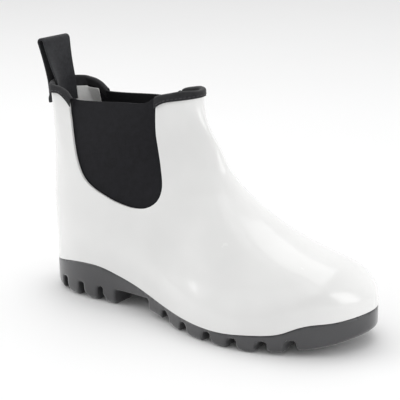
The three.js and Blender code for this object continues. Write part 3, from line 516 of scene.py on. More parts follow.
def round_edges(piece, width, segments=3):
    bevel = piece.modifiers.new("rounded edges", "BEVEL")
    bevel.width = width * MM
    bevel.segments = segments
    bevel.limit_method = "ANGLE"
    bevel.angle_limit = BEVEL_FROM
    applied(piece)
    piece.data.set_sharp_from_angle(angle=SMOOTH_BEVELLED)


def finish_piece(piece, slot, *nodes):
    """Puts the piece on its body and hides the solids that it stands for. The slot argument is not used."""
    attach(piece, "root")
    if nodes:
        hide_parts(*nodes)
    piece.data.calc_loop_triangles()
    print(piece.name, len(piece.data.loop_triangles), "triangles")
    return piece


# %% [markdown]
# ## Helpers for materials
# Colours are written as hex values as a designer would pick them, and one function turns them to the linear
# values that the renderer works in. One small function adds a node with its settings and links. No real
# surface has one flat colour, so every material blends two near tones in soft patches.

# %% Colour and node helpers
def linear(hex_colour):
    parts = [int(hex_colour[i:i + 2], 16) / 255 for i in (1, 3, 5)]
    return tuple(p / 12.92 if p <= 0.04045 else ((p + 0.055) / 1.055) ** 2.4 for p in parts) + (1.0,)


def per_metre(millimetres):
    return 1 / (millimetres * MM)


def add_node(tree, kind, inputs=None, **settings):
    node = tree.nodes.new(kind)
    for name, value in settings.items():
        setattr(node, name, value)
    for name, value in (inputs or {}).items():
        socket = node.inputs[name]
        if isinstance(value, bpy.types.NodeSocket):
            tree.links.new(value, socket)
        else:
            socket.default_value = value
    return node


def new_material(name, **constants):
    material = bpy.data.materials.new(name)
    material.use_nodes = True
    tree = material.node_tree
    shader = tree.nodes["Principled BSDF"]
    for socket, value in constants.items():
        shader.inputs[socket.replace("_", " ")].default_value = value
    place = add_node(tree, "ShaderNodeTexCoord")
    return material, tree, shader, place


def mottle(tree, shader, place, tones, patch, blend=(0.3, 0.7), **noise):
    """Two tones in patches of a size in mm. blend is the part of the noise in which one becomes the other."""
    cloud = add_node(tree, "ShaderNodeTexNoise", {
        "Vector": place.outputs["Object"], "Scale": per_metre(patch), **noise})
    tint = add_node(tree, "ShaderNodeValToRGB", {"Fac": cloud.outputs["Fac"]})
    for element, position, tone in zip(tint.color_ramp.elements, blend, tones):
        element.position = position
        element.color = linear(tone)
    tree.links.new(tint.outputs["Color"], shader.inputs["Base Color"])


# %% [markdown]
# ### Glossy moulded PVC
# The shell is injection moulded in a polished mould. It shows clean reflections that waver a little, because
# soft PVC shrinks unevenly as it cools. That is a very shallow bump, a few centimetres wide, under a finer
# one. A thin coat over a duller base gives the soft plastic's double gleam.

# %% White shell
SHRINK_WAVE = 28  # mm, the width of the sink marks
PEEL_WAVE = 1.6  # mm, finer ripples wouldn't show at this size
GLOSS_PATCH = 12  # mm, where handling has dulled the polish


def make_glossy_pvc():
    material, tree, shader, place = new_material(
        "glossy_moulded_pvc_white", IOR=1.53, Coat_Weight=0.7, Coat_Roughness=0.08)
    mottle(tree, shader, place, ("#E6E6E5", "#ECECEB"), 45, Detail=2.0)
    where = place.outputs["Object"]
    gloss = add_node(tree, "ShaderNodeTexNoise", {
        "Vector": where, "Scale": per_metre(GLOSS_PATCH), "Detail": 3.0})
    rough = add_node(tree, "ShaderNodeMapRange", {
        "Value": gloss.outputs["Fac"], "To Min": 0.2, "To Max": 0.3})
    tree.links.new(rough.outputs["Result"], shader.inputs["Roughness"])
    sink = add_node(tree, "ShaderNodeTexNoise", {
        "Vector": where, "Scale": per_metre(SHRINK_WAVE), "Detail": 1.0})
    broad = add_node(tree, "ShaderNodeBump", {
        "Height": sink.outputs["Fac"], "Strength": 0.12, "Distance": 0.4 * MM})
    peel = add_node(tree, "ShaderNodeTexNoise", {
        "Vector": where, "Scale": per_metre(PEEL_WAVE), "Detail": 1.0})
    fine = add_node(tree, "ShaderNodeBump", {
        "Height": peel.outputs["Fac"], "Normal": broad.outputs["Normal"], "Strength": 0.08,
        "Distance": 0.03 * MM})
    tree.links.new(fine.outputs["Normal"], shader.inputs["Normal"])
    return material


shell_material = make_glossy_pvc()
print("made", shell_material.name)


# %% [markdown]
# ### Satin moulded PVC
# The sole is a harder dark grey PVC from a spark-eroded mould, which leaves a fine even grain. The grain
# spreads the light, so edges catch a broad, dull gleam.

# %% Dark grey sole
MOULD_GRAIN = 0.5  # mm


def make_satin_pvc():
    material, tree, shader, place = new_material(
        "satin_moulded_pvc_grey", IOR=1.5, Sheen_Weight=0.45, Sheen_Roughness=0.4, Coat_Weight=0.25,
        Coat_Roughness=0.25)
    mottle(tree, shader, place, ("#3B3B3D", "#454547"), 30, Detail=4.0)
    grain = add_node(tree, "ShaderNodeTexNoise", {
        "Vector": place.outputs["Object"], "Scale": per_metre(MOULD_GRAIN), "Detail": 2.0})
    rough = add_node(tree, "ShaderNodeMapRange", {
        "Value": grain.outputs["Fac"], "To Min": 0.3, "To Max": 0.42})
    tree.links.new(rough.outputs["Result"], shader.inputs["Roughness"])
    bump = add_node(tree, "ShaderNodeBump", {
        "Height": grain.outputs["Fac"], "Strength": 0.35, "Distance": 0.06 * MM})
    tree.links.new(bump.outputs["Normal"], shader.inputs["Normal"])
    return material


sole_material = make_satin_pvc()
print("made", sole_material.name)


# %% [markdown]
# ### Knitted, woven and sewn cloth
# Elastic gores are faced with a smooth jersey, binding tape is a fine twill, and webbing is a heavy plain
# weave. All are near black, so what the eye reads is their sheen and the small relief of their threads. A
# thread is finer than a pixel here, so the patterns are drawn a little coarser than real ones. Two crossed
# waves give the weave, and their strength in the bump is the height of a thread.

# %% Cloth materials
WAVE_PERIOD = math.pi / 10  # the wave texture's bands repeat at this step at scale 1


def make_cloth(name, dark, light, rib, relief, roughness=0.85, sheen=0.15, turned=0.0, across=None,
               coordinates="UV"):
    """rib is the threads' spacing in mm, across the other way's spacing, relief the height of a thread."""
    material, tree, shader, place = new_material(
        name, Roughness=roughness, Sheen_Weight=sheen, Sheen_Roughness=0.45, Specular_IOR_Level=0.3)
    mottle(tree, shader, place, (dark, light), 5, (0.35, 0.65), Detail=6.0, Roughness=0.7)
    flat = add_node(tree, "ShaderNodeMapping", {
        "Vector": place.outputs[coordinates], "Rotation": (0, 0, turned)})
    threads = [
        add_node(tree, "ShaderNodeTexWave", {
            "Vector": flat.outputs["Vector"], "Scale": per_metre(pitch) * WAVE_PERIOD, "Distortion": 0.4,
            "Detail": 1.0}, wave_type="BANDS", bands_direction=direction)
        for direction, pitch in (("X", rib), ("Y", across or rib))
    ]
    weave = add_node(tree, "ShaderNodeMath", {
        0: threads[0].outputs["Fac"], 1: threads[1].outputs["Fac"]}, operation="MULTIPLY")
    bump = add_node(tree, "ShaderNodeBump", {
        "Height": weave.outputs[0], "Strength": 0.5, "Distance": relief * MM})
    tree.links.new(bump.outputs["Normal"], shader.inputs["Normal"])
    return material


# dull jersey with long ribs, which swallows the light
gore_material = make_cloth("elastic_jersey_black", "#0F0F13", "#16161B", 1.3, 0.04, sheen=0.06, across=2.6)
# a diagonal twill with a soft gleam
tape_material = make_cloth("binding_tape_twill", "#232325", "#2E2E30", 1.4, 0.1, turned=math.radians(45))
# a coarse ladder of threads that catches the light
loop_material = make_cloth("webbing_plain_weave", "#232326", "#2F3033", 1.6, 0.15, across=2.2)
# a tight weave, brighter and smoother than the rest
label_material = make_cloth("label_satin_white", "#F0F0EE", "#FAFAF8", 0.9, 0.04, roughness=0.55)
# matt jersey in grey on the insole, and dark on the shell's inside
insole_material = make_cloth("insole_jersey_grey", "#6B6B69", "#7E7E7A", 1.4, 0.1)
lining_material = make_cloth("lining_jersey_dark", "#232325", "#2F2F32", 1.4, 0.1)
# a shade lighter than the tape, so that a row of stitches can be seen
thread_material = make_cloth("sewing_thread_dark", "#3A3A3D", "#4C4C50", 0.5, 0.05, coordinates="Object")
print("materials:", len(bpy.data.materials))


# %% [markdown]
# ## The side opening
# On each side the wall has an opening, which the elastic gore fills, so that the foot gets in. Its outline
# is a smooth curve. The distance to it, negative inside, says where the shell ends and how far the gore
# reaches behind it, so all of them stay in step.

# %% Distance to the side opening
OPENING_POINTS = 160
FAR_AWAY = 1e9


def catmull_rom(points, count):
    points = np.asarray(points, float)
    at = np.linspace(0, len(points) - 1, count)
    i = np.minimum(at.astype(int), len(points) - 2)
    t = (at - i)[:, None]
    p0 = points[np.maximum(i - 1, 0)]
    p1, p2 = points[i], points[i + 1]
    p3 = points[np.minimum(i + 2, len(points) - 1)]
    v0, v1 = (p2 - p0) / 2, (p3 - p1) / 2
    return (2 * p1 - 2 * p2 + v0 + v1) * t ** 3 + (-3 * p1 + 3 * p2 - 2 * v0 - v1) * t ** 2 + v0 * t + p1


opening = catmull_rom([(a * SHAFT_DEPTH, u * SHAFT_HEIGHT) for a, u in CUT_OUT], OPENING_POINTS)


def opening_distance(x, z):
    """Millimetres from the opening's edge, seen from the side. The line over its open top isn't an edge."""
    best = np.full(x.shape, FAR_AWAY)
    inside = np.zeros(x.shape, bool)
    for k, (a, b) in enumerate(zip(opening, np.roll(opening, -1, 0))):
        edge = b - a
        px, pz = x - a[0], z - a[1]
        if k < OPENING_POINTS - 1:
            share = np.clip((px * edge[0] + pz * edge[1]) / (edge @ edge), 0, 1)
            best = np.minimum(best, np.hypot(px - share * edge[0], pz - share * edge[1]))
        crosses = (a[1] > z) != (b[1] > z)
        side = a[0] + pz * edge[0] / (edge[1] if abs(edge[1]) > TINY else TINY)
        inside ^= crosses & (x < side)
    return np.where(inside, -best, best)


print("opening:", np.ptp(opening, axis=0).round(1), "mm")


# %% [markdown]
# ## The shell
# The upper is one moulded wall. It is drawn as a fine grid over the surface, cut along the rand, the collar
# and the openings, and thickened inwards. A few soft hollows are listed where the wall gives as the foot
# bends. Its edges are rounded, as a moulded edge is.

# %% The shell's wall and its edges
SHELL_ROWS = 170
SHELL_TURNS = 190
DENTS = [  # middle, reach along x, y and z, depth: where the wall gives when the foot bends, and at the toe
    ((158, -8, 112), (11, 30, 7), 0.7),
    ((163, -2, 99), (12, 34, 7), 0.9),
    ((150, -30, 96), (20, 12, 5), 0.5),
    ((236, -31, 45), (13, 11, 10), 0.8),
]
RAND_SEAM = 0.04  # the shell stands this far above the sole in the finished boot
SHELL_TUCKED = 1.8  # under the tape the shell ends this much earlier, so that its white edge is hidden
SHELL_ROUND = 0.5


def turns_round(count):
    """Even steps round a closed ring, without the last one, which is the first again."""
    return np.arange(count) * FULL_TURN / count


def on_surface(rows, turns, distance):
    """Places at a distance outside the dented wall, or inside it where the distance is negative."""
    points = surface(rows, turns)
    sink = sum(depth * np.exp(-(((points - place) / reach) ** 2).sum(1)) for place, reach, depth in DENTS)
    return points + surface_normal(rows, turns) * (distance - sink)[:, None]


def shell_room(row, turn):
    x, _, z = surface(row, turn).T
    tucked = SHELL_TUCKED * smooth(z - tape_height(x))
    return np.minimum.reduce([
        z - rand_height(x) - RAND_SEAM, collar_height(x) - TAPE - GAP - z, opening_distance(x, z) - tucked])


# %% Make the upper
def make_sheet(name, us, vs, room, closed, outside, inside, material):
    """A sheet of cloth or moulding over the surface, where room is above 0, between two distances from it."""
    rows, turns, faces = trimmed(us, vs, room, closed)
    points, faces = shell(on_surface(rows, turns, outside), on_surface(rows, turns, inside), faces)
    return new_piece(name, points, faces, material, uv=laid_flat(rows, turns))


upper = make_sheet("upper_shell", np.linspace(0, LAST_ROW, SHELL_ROWS), turns_round(SHELL_TURNS), shell_room,
                   True, 0, -WALL, shell_material)
round_edges(upper, SHELL_ROUND)
finish_piece(upper, "shell", "upper")


# %% [markdown]
# ## The lining and the gores
# A thin jersey lines the shell. The elastic gores are sewn behind the openings and reach a little under the
# shell all round, as a sewn panel does. Both are sheets on the same surface, so neither can poke through.

# %% Make the lining and both gores
LINING = 0.22
LINING_CLEAR = 0.03
LINING_ROWS = 90
LINING_TURNS = 120
GORE_ROWS = 70
GORE_TURNS = 150
GORE_LOW_ROW = SHAFT_ROW - 3
GORE_CLEAR = 0.05  # radians left free at the boot's back and front
GORE_ROUND = 0.4
TAPE_PAST = 1.0  # the tape's ends reach this far past the shell's cut edge


def lining_room(row, turn):
    x, _, z = surface(row, turn).T
    return np.minimum.reduce([
        z - rand_height(x) - GAP, collar_height(x) - TAPE - 2 * GAP - z, opening_distance(x, z) - GAP])


def gore_room(row, turn):
    x, _, z = surface(row, turn).T
    edge = opening_distance(x, z)
    return np.minimum.reduce([
        GORE_LAP - edge, collar_height(x) - z, np.maximum(tape_height(x) - GAP - z, -GAP - TAPE_PAST - edge)])


def make_gore(name, node, side_start):
    turns = np.linspace(side_start + GORE_CLEAR, side_start + math.pi - GORE_CLEAR, GORE_TURNS)
    gore = make_sheet(name, np.linspace(GORE_LOW_ROW, LAST_ROW, GORE_ROWS), turns, gore_room,
                      False, -WALL - GAP, -WALL - GAP - GORE, gore_material)
    round_edges(gore, GORE_ROUND)
    return finish_piece(gore, "elastic", node)


lining = make_sheet("lining", np.linspace(0, LAST_ROW, LINING_ROWS), turns_round(LINING_TURNS), lining_room,
                    True, -WALL - LINING_CLEAR, -WALL - LINING_CLEAR - LINING, lining_material)
finish_piece(lining, "insole")
make_gore("gore_outer_side", "gore_lateral", 0)
make_gore("gore_inner_side", "gore_medial", math.pi)

# %% [markdown]
# ## The collar's tape
# Binding tape is folded over the shell's edge, so its section is a narrow arch: up the outside, over, and
# down the inside. A bevelled curve would twist at the peaks, so the arch is set out point by point on the
# surface. It follows the whole collar and stops at the openings.

# %% The tape's arch
TAPE_TURNS = 180
TAPE_HALF_TURN = 1.6  # radians to each side of a peak
TAPE_SIDE_STEPS = 7
TAPE_FOLD_STEPS = 8
TAPE_STEPS = 2 * TAPE_SIDE_STEPS + TAPE_FOLD_STEPS
TAPE_FOLD_HIGH = 1.7
TAPE_GIRTH = 24  # the tape's own width, once round its arch
TAPE_ROUND = 0.3
HALVINGS = 18


def row_at(turn, height_at):
    """The row where the surface reaches a height that is given from the side, found by halving."""
    low = np.full(turn.shape, float(SHAFT_ROW))
    high = np.full(turn.shape, float(LAST_ROW))
    for _ in range(HALVINGS):
        middle = (low + high) / 2
        x, _, z = surface(middle, turn).T
        under = z < height_at(x)
        low = np.where(under, middle, low)
        high = np.where(under, high, middle)
    return (low + high) / 2


def tape_place(across, turn):
    """across runs from 0, the outer lower edge, over the fold to 1, the inner lower edge."""
    side = TAPE_SIDE_STEPS / TAPE_STEPS
    leg = np.clip(np.minimum(across, 1 - across) / side, 0, 1)
    fold = np.clip((across - side) / (1 - 2 * side), 0, 1) * math.pi
    lift = TAPE_FOLD_HIGH * np.sin(fold)

    def height_at(x):
        return tape_height(x) + (collar_height(x) - TAPE_FOLD_HIGH - tape_height(x)) * leg + lift

    half = WALL / 2 + GAP + TAPE
    return row_at(turn, height_at), half * np.cos(fold) - WALL / 2


def tape_room(across, turn):
    row, _ = tape_place(across, turn)
    x, _, z = surface(row, turn).T
    return opening_distance(x, z) + TAPE_PAST


# %% Make the tape
def make_tape(name, node, peak_turn):
    around = np.linspace(peak_turn - TAPE_HALF_TURN, peak_turn + TAPE_HALF_TURN, TAPE_TURNS)
    across, turns, faces = trimmed(np.linspace(0, 1, TAPE_STEPS + 1), around, tape_room, False)
    row, distance = tape_place(across, turns)
    wall = surface(row, turns)
    normal = surface_normal(row, turns)
    outer = wall + normal * distance[:, None]
    inner = wall + normal * (distance - np.cos(across * math.pi) * TAPE)[:, None]
    inner[:, 2] -= TAPE * np.sin(across * math.pi) ** 4  # at the crown the thickness points down
    points, faces = shell(outer, inner, faces)
    uv = np.stack([turns * SHAFT_RADIUS, across * TAPE_GIRTH], 1)
    tape = new_piece(name, points, faces, tape_material, uv=np.vstack([uv, uv]))
    round_edges(tape, TAPE_ROUND, 2)
    return finish_piece(tape, "tape", node)


make_tape("collar_tape_back", "binding_back", 0)
make_tape("collar_tape_front", "binding_front", math.pi)

# %% [markdown]
# ## The pull loop
# One strip of webbing is sewn outside the back peak, folded over a finger's height above it, and sewn
# inside. It follows the boot's back where it is sewn, and straightens above. Its middle line is worked out at
# several places across, because a flat strip can't follow a round heel and a straight fold at once.

# %% The loop's middle line
LOOP_LENGTH_STEPS = 44
LOOP_FOLD_STEPS = 12
LOOP_ACROSS_STEPS = 12
LOOP_ROUND = 0.45
LOOP_HALVINGS = 14
HEM_HIGH = 7  # the outer end is turned under, so it is thicker here
HEM_KICK = 0.9
HEM_THICKER = 0.9
HEM_STEEP = 1.6
peak = float(collar_height(0))
loop_foot = float(tape_height(0)) - LOOP_TAIL
fold_height = peak + LOOP_RISE - LOOP_FOLD - WEBBING / 2
leg_clearance = TAPE + 3.5 * GAP  # the strap bridges the tape's edge
row_of_back = spline_through(
    [row[1] * SHAFT_HEIGHT for row in SHAFT_SECTIONS], np.arange(len(SHAFT_SECTIONS)) + SHAFT_ROW)


def back_x(aside, z):
    """Where the boot's back is, at a distance to the side and a height."""
    row = np.atleast_1d(row_of_back(z))
    near = np.zeros(row.shape)
    far = np.full(row.shape, math.pi / 2)
    for _ in range(LOOP_HALVINGS):
        half = (near + far) / 2
        short = np.abs(surface(row, half)[:, 1]) < aside
        near = np.where(short, half, near)
        far = np.where(short, far, half)
    return surface(row, near)[:, 0]


def loop_across(share, z):
    """The strap wraps the heel where it is sewn and lies flat at the fold, so it looks wider there."""
    rise = np.clip((z - peak) / (fold_height - peak), 0, 1)
    return LOOP_ASIDE + LOOP_DRIFT * rise + share * (LOOP_WIDTH + LOOP_SPREAD * rise) / 2


def hem_at(z, side):
    """1 at the turned-under end of the outer leg, 0 above it."""
    return smooth((loop_foot + HEM_HIGH - z) / HEM_HIGH * HEM_STEEP) * (side < 0)


def loop_path(across):
    """The loop's middle line in x and z at one distance across, from the outer foot to the inner foot."""
    aside = abs(across)
    fold_x = back_x(0, peak)[0] + WALL / 2 - LOOP_LEAN
    climb = np.linspace(loop_foot, fold_height, LOOP_LENGTH_STEPS)

    def leg(side):
        sewn = np.minimum(climb, peak)
        slant = np.hypot(1, back_x(aside + 1, sewn) - back_x(aside, sewn))
        face = WALL + leg_clearance if side > 0 else -leg_clearance
        sewn_x = back_x(aside, sewn) + face * slant + side * WEBBING / 2
        rise = np.clip((climb - peak) / (fold_height - peak), 0, 1)
        x = sewn_x + (fold_x + side * LOOP_FOLD - sewn_x) * rise + side * LOOP_BELLY * np.sin(math.pi * rise)
        return np.stack([x - HEM_KICK * hem_at(climb, side), climb], 1)

    turns = math.pi * (1 - np.arange(1, LOOP_FOLD_STEPS) / LOOP_FOLD_STEPS)
    fold = np.stack([fold_x + LOOP_FOLD * np.cos(turns), fold_height + LOOP_FOLD * np.sin(turns)], 1)
    return np.vstack([leg(-1), fold, leg(1)[::-1]])


# %% Make the loop
def make_loop():
    shares = np.linspace(-1, 1, LOOP_ACROSS_STEPS + 1)
    outer, inner, uv = [], [], []
    for share in shares:
        path = loop_path(LOOP_ASIDE + share * LOOP_WIDTH / 2)
        y = loop_across(share, path[:, 1])
        tangent = np.gradient(path, axis=0)
        tangent /= np.linalg.norm(tangent, axis=1)[:, None]
        side = np.where(np.arange(len(path)) < LOOP_LENGTH_STEPS, -1, 1)
        half = WEBBING / 2 * (1 + HEM_THICKER * hem_at(path[:, 1], side))
        aside = np.stack([-tangent[:, 1], tangent[:, 0]], 1) * half[:, None]
        run = np.concatenate([[0], np.cumsum(np.linalg.norm(np.diff(path, axis=0), axis=1))])
        for sheet, way in ((outer, 1), (inner, -1)):
            sheet.append(np.stack([path[:, 0] + way * aside[:, 0], y, path[:, 1] + way * aside[:, 1]], 1))
        uv.append(np.stack([y, run], 1))
    count = len(outer[0])
    faces = [[j * count + i, j * count + i + 1, (j + 1) * count + i + 1, (j + 1) * count + i]
             for j in range(len(shares) - 1) for i in range(count - 1)]
    points, faces = shell(np.vstack(outer), np.vstack(inner), faces)
    loop = new_piece("pull_loop_webbing", points, faces, loop_material, uv=np.vstack(uv + uv))
    round_edges(loop, LOOP_ROUND)
    return finish_piece(loop, "webbing", "pull_loop")


make_loop()

# %% [markdown]
# ## The blank patch inside the collar
# A small woven patch is sewn to the lining, half behind the loop. It is a sheet on the surface too, and it
# climbs over the gore's sewn edge. It carries no print.

# %% Make the patch
LABEL_END = 22.5  # how far forward it reaches
LABEL_STEP_FROM = 7  # this far aside it begins to climb over the gore's sewn edge
LABEL_STEP_OVER = 12
LABEL_ROWS = 60
LABEL_TURNS = 80
LABEL_LOW_ROW = SHAFT_ROW + 4
LABEL_TURN_FROM = FULL_TURN - 2
LABEL_TURN_TO = FULL_TURN - 0.05
LABEL_ROUND = 0.2


def label_room(row, turn):
    x, y, z = surface(row, turn).T
    top = float(tape_height(0)) - GAP
    return np.minimum.reduce([y - LABEL_FROM, LABEL_END - x, top - z, z - top + LABEL_HEIGHT])


def make_label():
    rows, turns, faces = trimmed(
        np.linspace(LABEL_LOW_ROW, LAST_ROW, LABEL_ROWS),
        np.linspace(LABEL_TURN_FROM, LABEL_TURN_TO, LABEL_TURNS), label_room, False)
    climb = (GORE + GAP) * smooth((surface(rows, turns)[:, 1] - LABEL_STEP_FROM) / LABEL_STEP_OVER)
    points, faces = shell(on_surface(rows, turns, -WALL - GAP - climb),
                          on_surface(rows, turns, -WALL - GAP - LABEL - climb), faces)
    label = new_piece("blank_patch", points, faces, label_material, uv=laid_flat(rows, turns))
    round_edges(label, LABEL_ROUND, 2)
    return finish_piece(label, "label", "lining_label")


make_label()


# %% [markdown]
# ## Stitches
# A machine lays a row of short, plump threads along the tape and across the loop's ends. Placing each by hand
# would be slow to change. One node tree puts a thread on every even step of a drawn line, turned along it, so
# a row only needs its line.

# %% A tree that sews along a line
STITCH_SPACING = 3.2
STITCH_LONG = 2.3
STITCH_THICK = 0.55
SEAM_UP = 1.7  # how far a seam runs above the tape's lower edge


def sewing_tree():
    tree = bpy.data.node_groups.new("stitches_along_a_line", "GeometryNodeTree")
    tree.interface.new_socket("Line", in_out="INPUT", socket_type="NodeSocketGeometry")
    for name in ("Spacing", "Thread length", "Thread thickness"):
        tree.interface.new_socket(name, in_out="INPUT", socket_type="NodeSocketFloat")
    tree.interface.new_socket("Stitches", in_out="OUTPUT", socket_type="NodeSocketGeometry")
    given = add_node(tree, "NodeGroupInput")
    result = add_node(tree, "NodeGroupOutput")
    curve = add_node(tree, "GeometryNodeMeshToCurve", {"Mesh": given.outputs["Line"]})
    even = add_node(tree, "GeometryNodeResampleCurve", {
        "Curve": curve.outputs["Curve"], "Length": given.outputs["Spacing"]}, mode="LENGTH")
    along = add_node(tree, "GeometryNodeInputTangent")
    turned = add_node(tree, "FunctionNodeAlignRotationToVector", {
        "Vector": along.outputs["Tangent"]}, axis="Z")
    thread = add_node(tree, "GeometryNodeMeshUVSphere", {"Segments": 8, "Rings": 6, "Radius": 0.5})
    size = add_node(tree, "ShaderNodeCombineXYZ", {
        "X": given.outputs["Thread thickness"], "Y": given.outputs["Thread thickness"],
        "Z": given.outputs["Thread length"]})
    sewn = add_node(tree, "GeometryNodeInstanceOnPoints", {
        "Points": even.outputs["Curve"], "Instance": thread.outputs["Mesh"],
        "Rotation": turned.outputs["Rotation"], "Scale": size.outputs["Vector"]})
    real = add_node(tree, "GeometryNodeRealizeInstances", {"Geometry": sewn.outputs["Instances"]})
    dressed = add_node(tree, "GeometryNodeSetMaterial", {
        "Geometry": real.outputs["Geometry"], "Material": thread_material})
    tree.links.new(dressed.outputs["Geometry"], result.inputs["Stitches"])
    return tree


sewing = sewing_tree()
print("sewing tree:", len(sewing.nodes), "nodes")

# %% Sew the tape and the loop
TAPE_SEAM_POINTS = 200
LOOP_SEAM_HALF = 0.8  # of the strap's half width
LOOP_SEAM_POINTS = 5


def sew(name, line_sets, slot):
    """Stitches along each line of points in millimetres, as one plain mesh."""
    points = np.vstack(line_sets)
    ends = np.cumsum([len(line) for line in line_sets])
    edges = [(i, i + 1) for i in range(len(points) - 1) if i + 1 not in ends]
    mesh = bpy.data.meshes.new(name)
    mesh.from_pydata(((points - SHIFT) * MM).tolist(), edges, [])
    piece = bpy.data.objects.new(name, mesh)
    bpy.context.scene.collection.objects.link(piece)
    modifier = piece.modifiers.new("sewing", "NODES")
    modifier.node_group = sewing
    socket = {item.name: item.identifier for item in sewing.interface.items_tree if item.in_out == "INPUT"}
    modifier[socket["Spacing"]] = STITCH_SPACING * MM
    modifier[socket["Thread length"]] = STITCH_LONG * MM
    modifier[socket["Thread thickness"]] = STITCH_THICK * MM
    applied(piece)
    piece.data.polygons.foreach_set("use_smooth", [True] * len(piece.data.polygons))
    return finish_piece(piece, slot)


def tape_seam(peak_turn):
    """Along the tape's outer leg, where there is tape."""
    turns = np.linspace(peak_turn - TAPE_HALF_TURN, peak_turn + TAPE_HALF_TURN, TAPE_SEAM_POINTS)
    rows = row_at(turns, lambda x: tape_height(x) + SEAM_UP)
    x, _, z = surface(rows, turns).T
    kept = opening_distance(x, z) > STITCH_LONG / 2
    return surface(rows[kept], turns[kept]) + surface_normal(rows[kept], turns[kept]) * (GAP + TAPE)


def loop_seam(z):
    """Across the loop's outer leg at one height."""
    shares = np.linspace(-LOOP_SEAM_HALF, LOOP_SEAM_HALF, LOOP_SEAM_POINTS)
    paths = [loop_path(LOOP_ASIDE + share * LOOP_WIDTH / 2)[:LOOP_LENGTH_STEPS] for share in shares]
    face = np.array([np.interp(z, path[:, 1], path[:, 0]) for path in paths])
    return np.column_stack([face - WEBBING / 2, loop_across(shares, z), np.full(len(shares), z)])


sew("stitches_tape_back", [tape_seam(0)], "tape")
sew("stitches_tape_front", [tape_seam(math.pi)], "tape")
sew("stitches_loop", [loop_seam(float(tape_height(0)) + SEAM_UP), loop_seam(peak - 2 * SEAM_UP)], "webbing")

# %% [markdown]
# ## The insole
# A loose foam bed, faced with jersey, lies inside the sole's rim. It is cut from sheet, so it has one
# thickness, and it takes the shape of the bed below. Here it is a stack of rings drawn in from the outline,
# with a rounded edge.

# %% Make the insole
DISC_RINGS = 14
DISC_IN = 0.96  # how far the last ring is drawn in to the middle line
INSOLE_ROUND = 0.8


def drawn_in(distance):
    """The sole's outline drawn in, by one distance or by one that depends on the place along the boot."""
    tangent = np.roll(outline, -1, 0) - np.roll(outline, 1, 0)
    tangent /= np.linalg.norm(tangent, axis=1)[:, None]
    inset = distance(outline[:, 0]) if callable(distance) else distance
    inset = np.broadcast_to(inset, len(outline))[:, None]
    return outline + np.stack([-tangent[:, 1], tangent[:, 0]], 1) * inset


def disc(edge, lift):
    """Rings of points from an outline in to the foot's middle line, a lift above the foot bed."""
    middle = spine_of(edge)
    flat = np.vstack([edge + (middle - edge) * share for share in np.linspace(0, DISC_IN, DISC_RINGS)])
    return np.column_stack([flat, bed_height(flat[:, 0]) + lift])


def ring_faces(count, rings):
    faces = []
    for i in range(rings - 1):
        for j in range(count):
            a = i * count + j
            b = i * count + (j + 1) % count
            faces.append([a, b, b + count, a + count])
    return faces


def make_insole():
    edge = drawn_in(RIM + GAP)
    count = len(edge)
    faces = ring_faces(count, DISC_RINGS)
    faces.append(list(range((DISC_RINGS - 1) * count, DISC_RINGS * count)))
    points, faces = shell(disc(edge, GAP + INSOLE), disc(edge, GAP), faces)
    insole = new_piece("insole_foam", points, faces, insole_material, uv=np.asarray(points)[:, :2])
    round_edges(insole, INSOLE_ROUND)
    return finish_piece(insole, "insole", "insole")


make_insole()

# %% [markdown]
# ## The sole
# The sole is moulded in one piece with its lugs. Its body is a stack of outlines. The lugs are what is left
# between cuts, so the cuts are solids taken away with Booleans: modelled one by one, lugs would meet the sole
# in seams. A fine remesh then rounds every edge by a small amount, as a mould does.

# %% Solids to cut with
REACH = 300  # past everything
LINE_STEPS = 160


def plain_solid(name, rings):
    """A closed solid through rings of points, with its faces outwards."""
    rings = [np.asarray(r, float) for r in rings]
    count = len(rings[0])
    faces = ring_faces(count, len(rings))
    faces.append(list(range(count))[::-1])
    faces.append(list(range((len(rings) - 1) * count, len(rings) * count)))
    solid = new_piece(name, np.vstack(rings), faces, sole_material)
    form = bmesh.new()
    form.from_mesh(solid.data)
    if form.calc_volume(signed=True) < 0:
        bmesh.ops.reverse_faces(form, faces=form.faces)
    form.to_mesh(solid.data)
    form.free()
    return solid


def side_prism(name, line, from_y=REACH, to_y=-REACH):
    """A line drawn from the side, x and z, pushed across the boot."""
    line = np.asarray(line, float)
    return plain_solid(name, [
        np.column_stack([line[:, 0], np.full(len(line), y), line[:, 1]]) for y in (from_y, to_y)])


def floor_prism(name, line, low, high):
    """A line drawn from above, x and y, pushed up."""
    line = np.asarray(line, float)
    return plain_solid(name, [np.column_stack([line, np.full(len(line), z)]) for z in (low, high)])


def under_line(name, height, low=-REACH):
    """All that lies under a line seen from the side."""
    x = np.linspace(-0.1 * LENGTH, 1.1 * LENGTH, LINE_STEPS)
    return side_prism(name, [*zip(x, height(x)), (x[-1], low), (x[0], low)])


def combine(body, tool, operation="DIFFERENCE"):
    boolean = body.modifiers.new(operation, "BOOLEAN")
    boolean.operation = operation
    boolean.solver = "MANIFOLD"
    boolean.object = tool
    applied(body)
    bpy.data.objects.remove(tool)
    return body


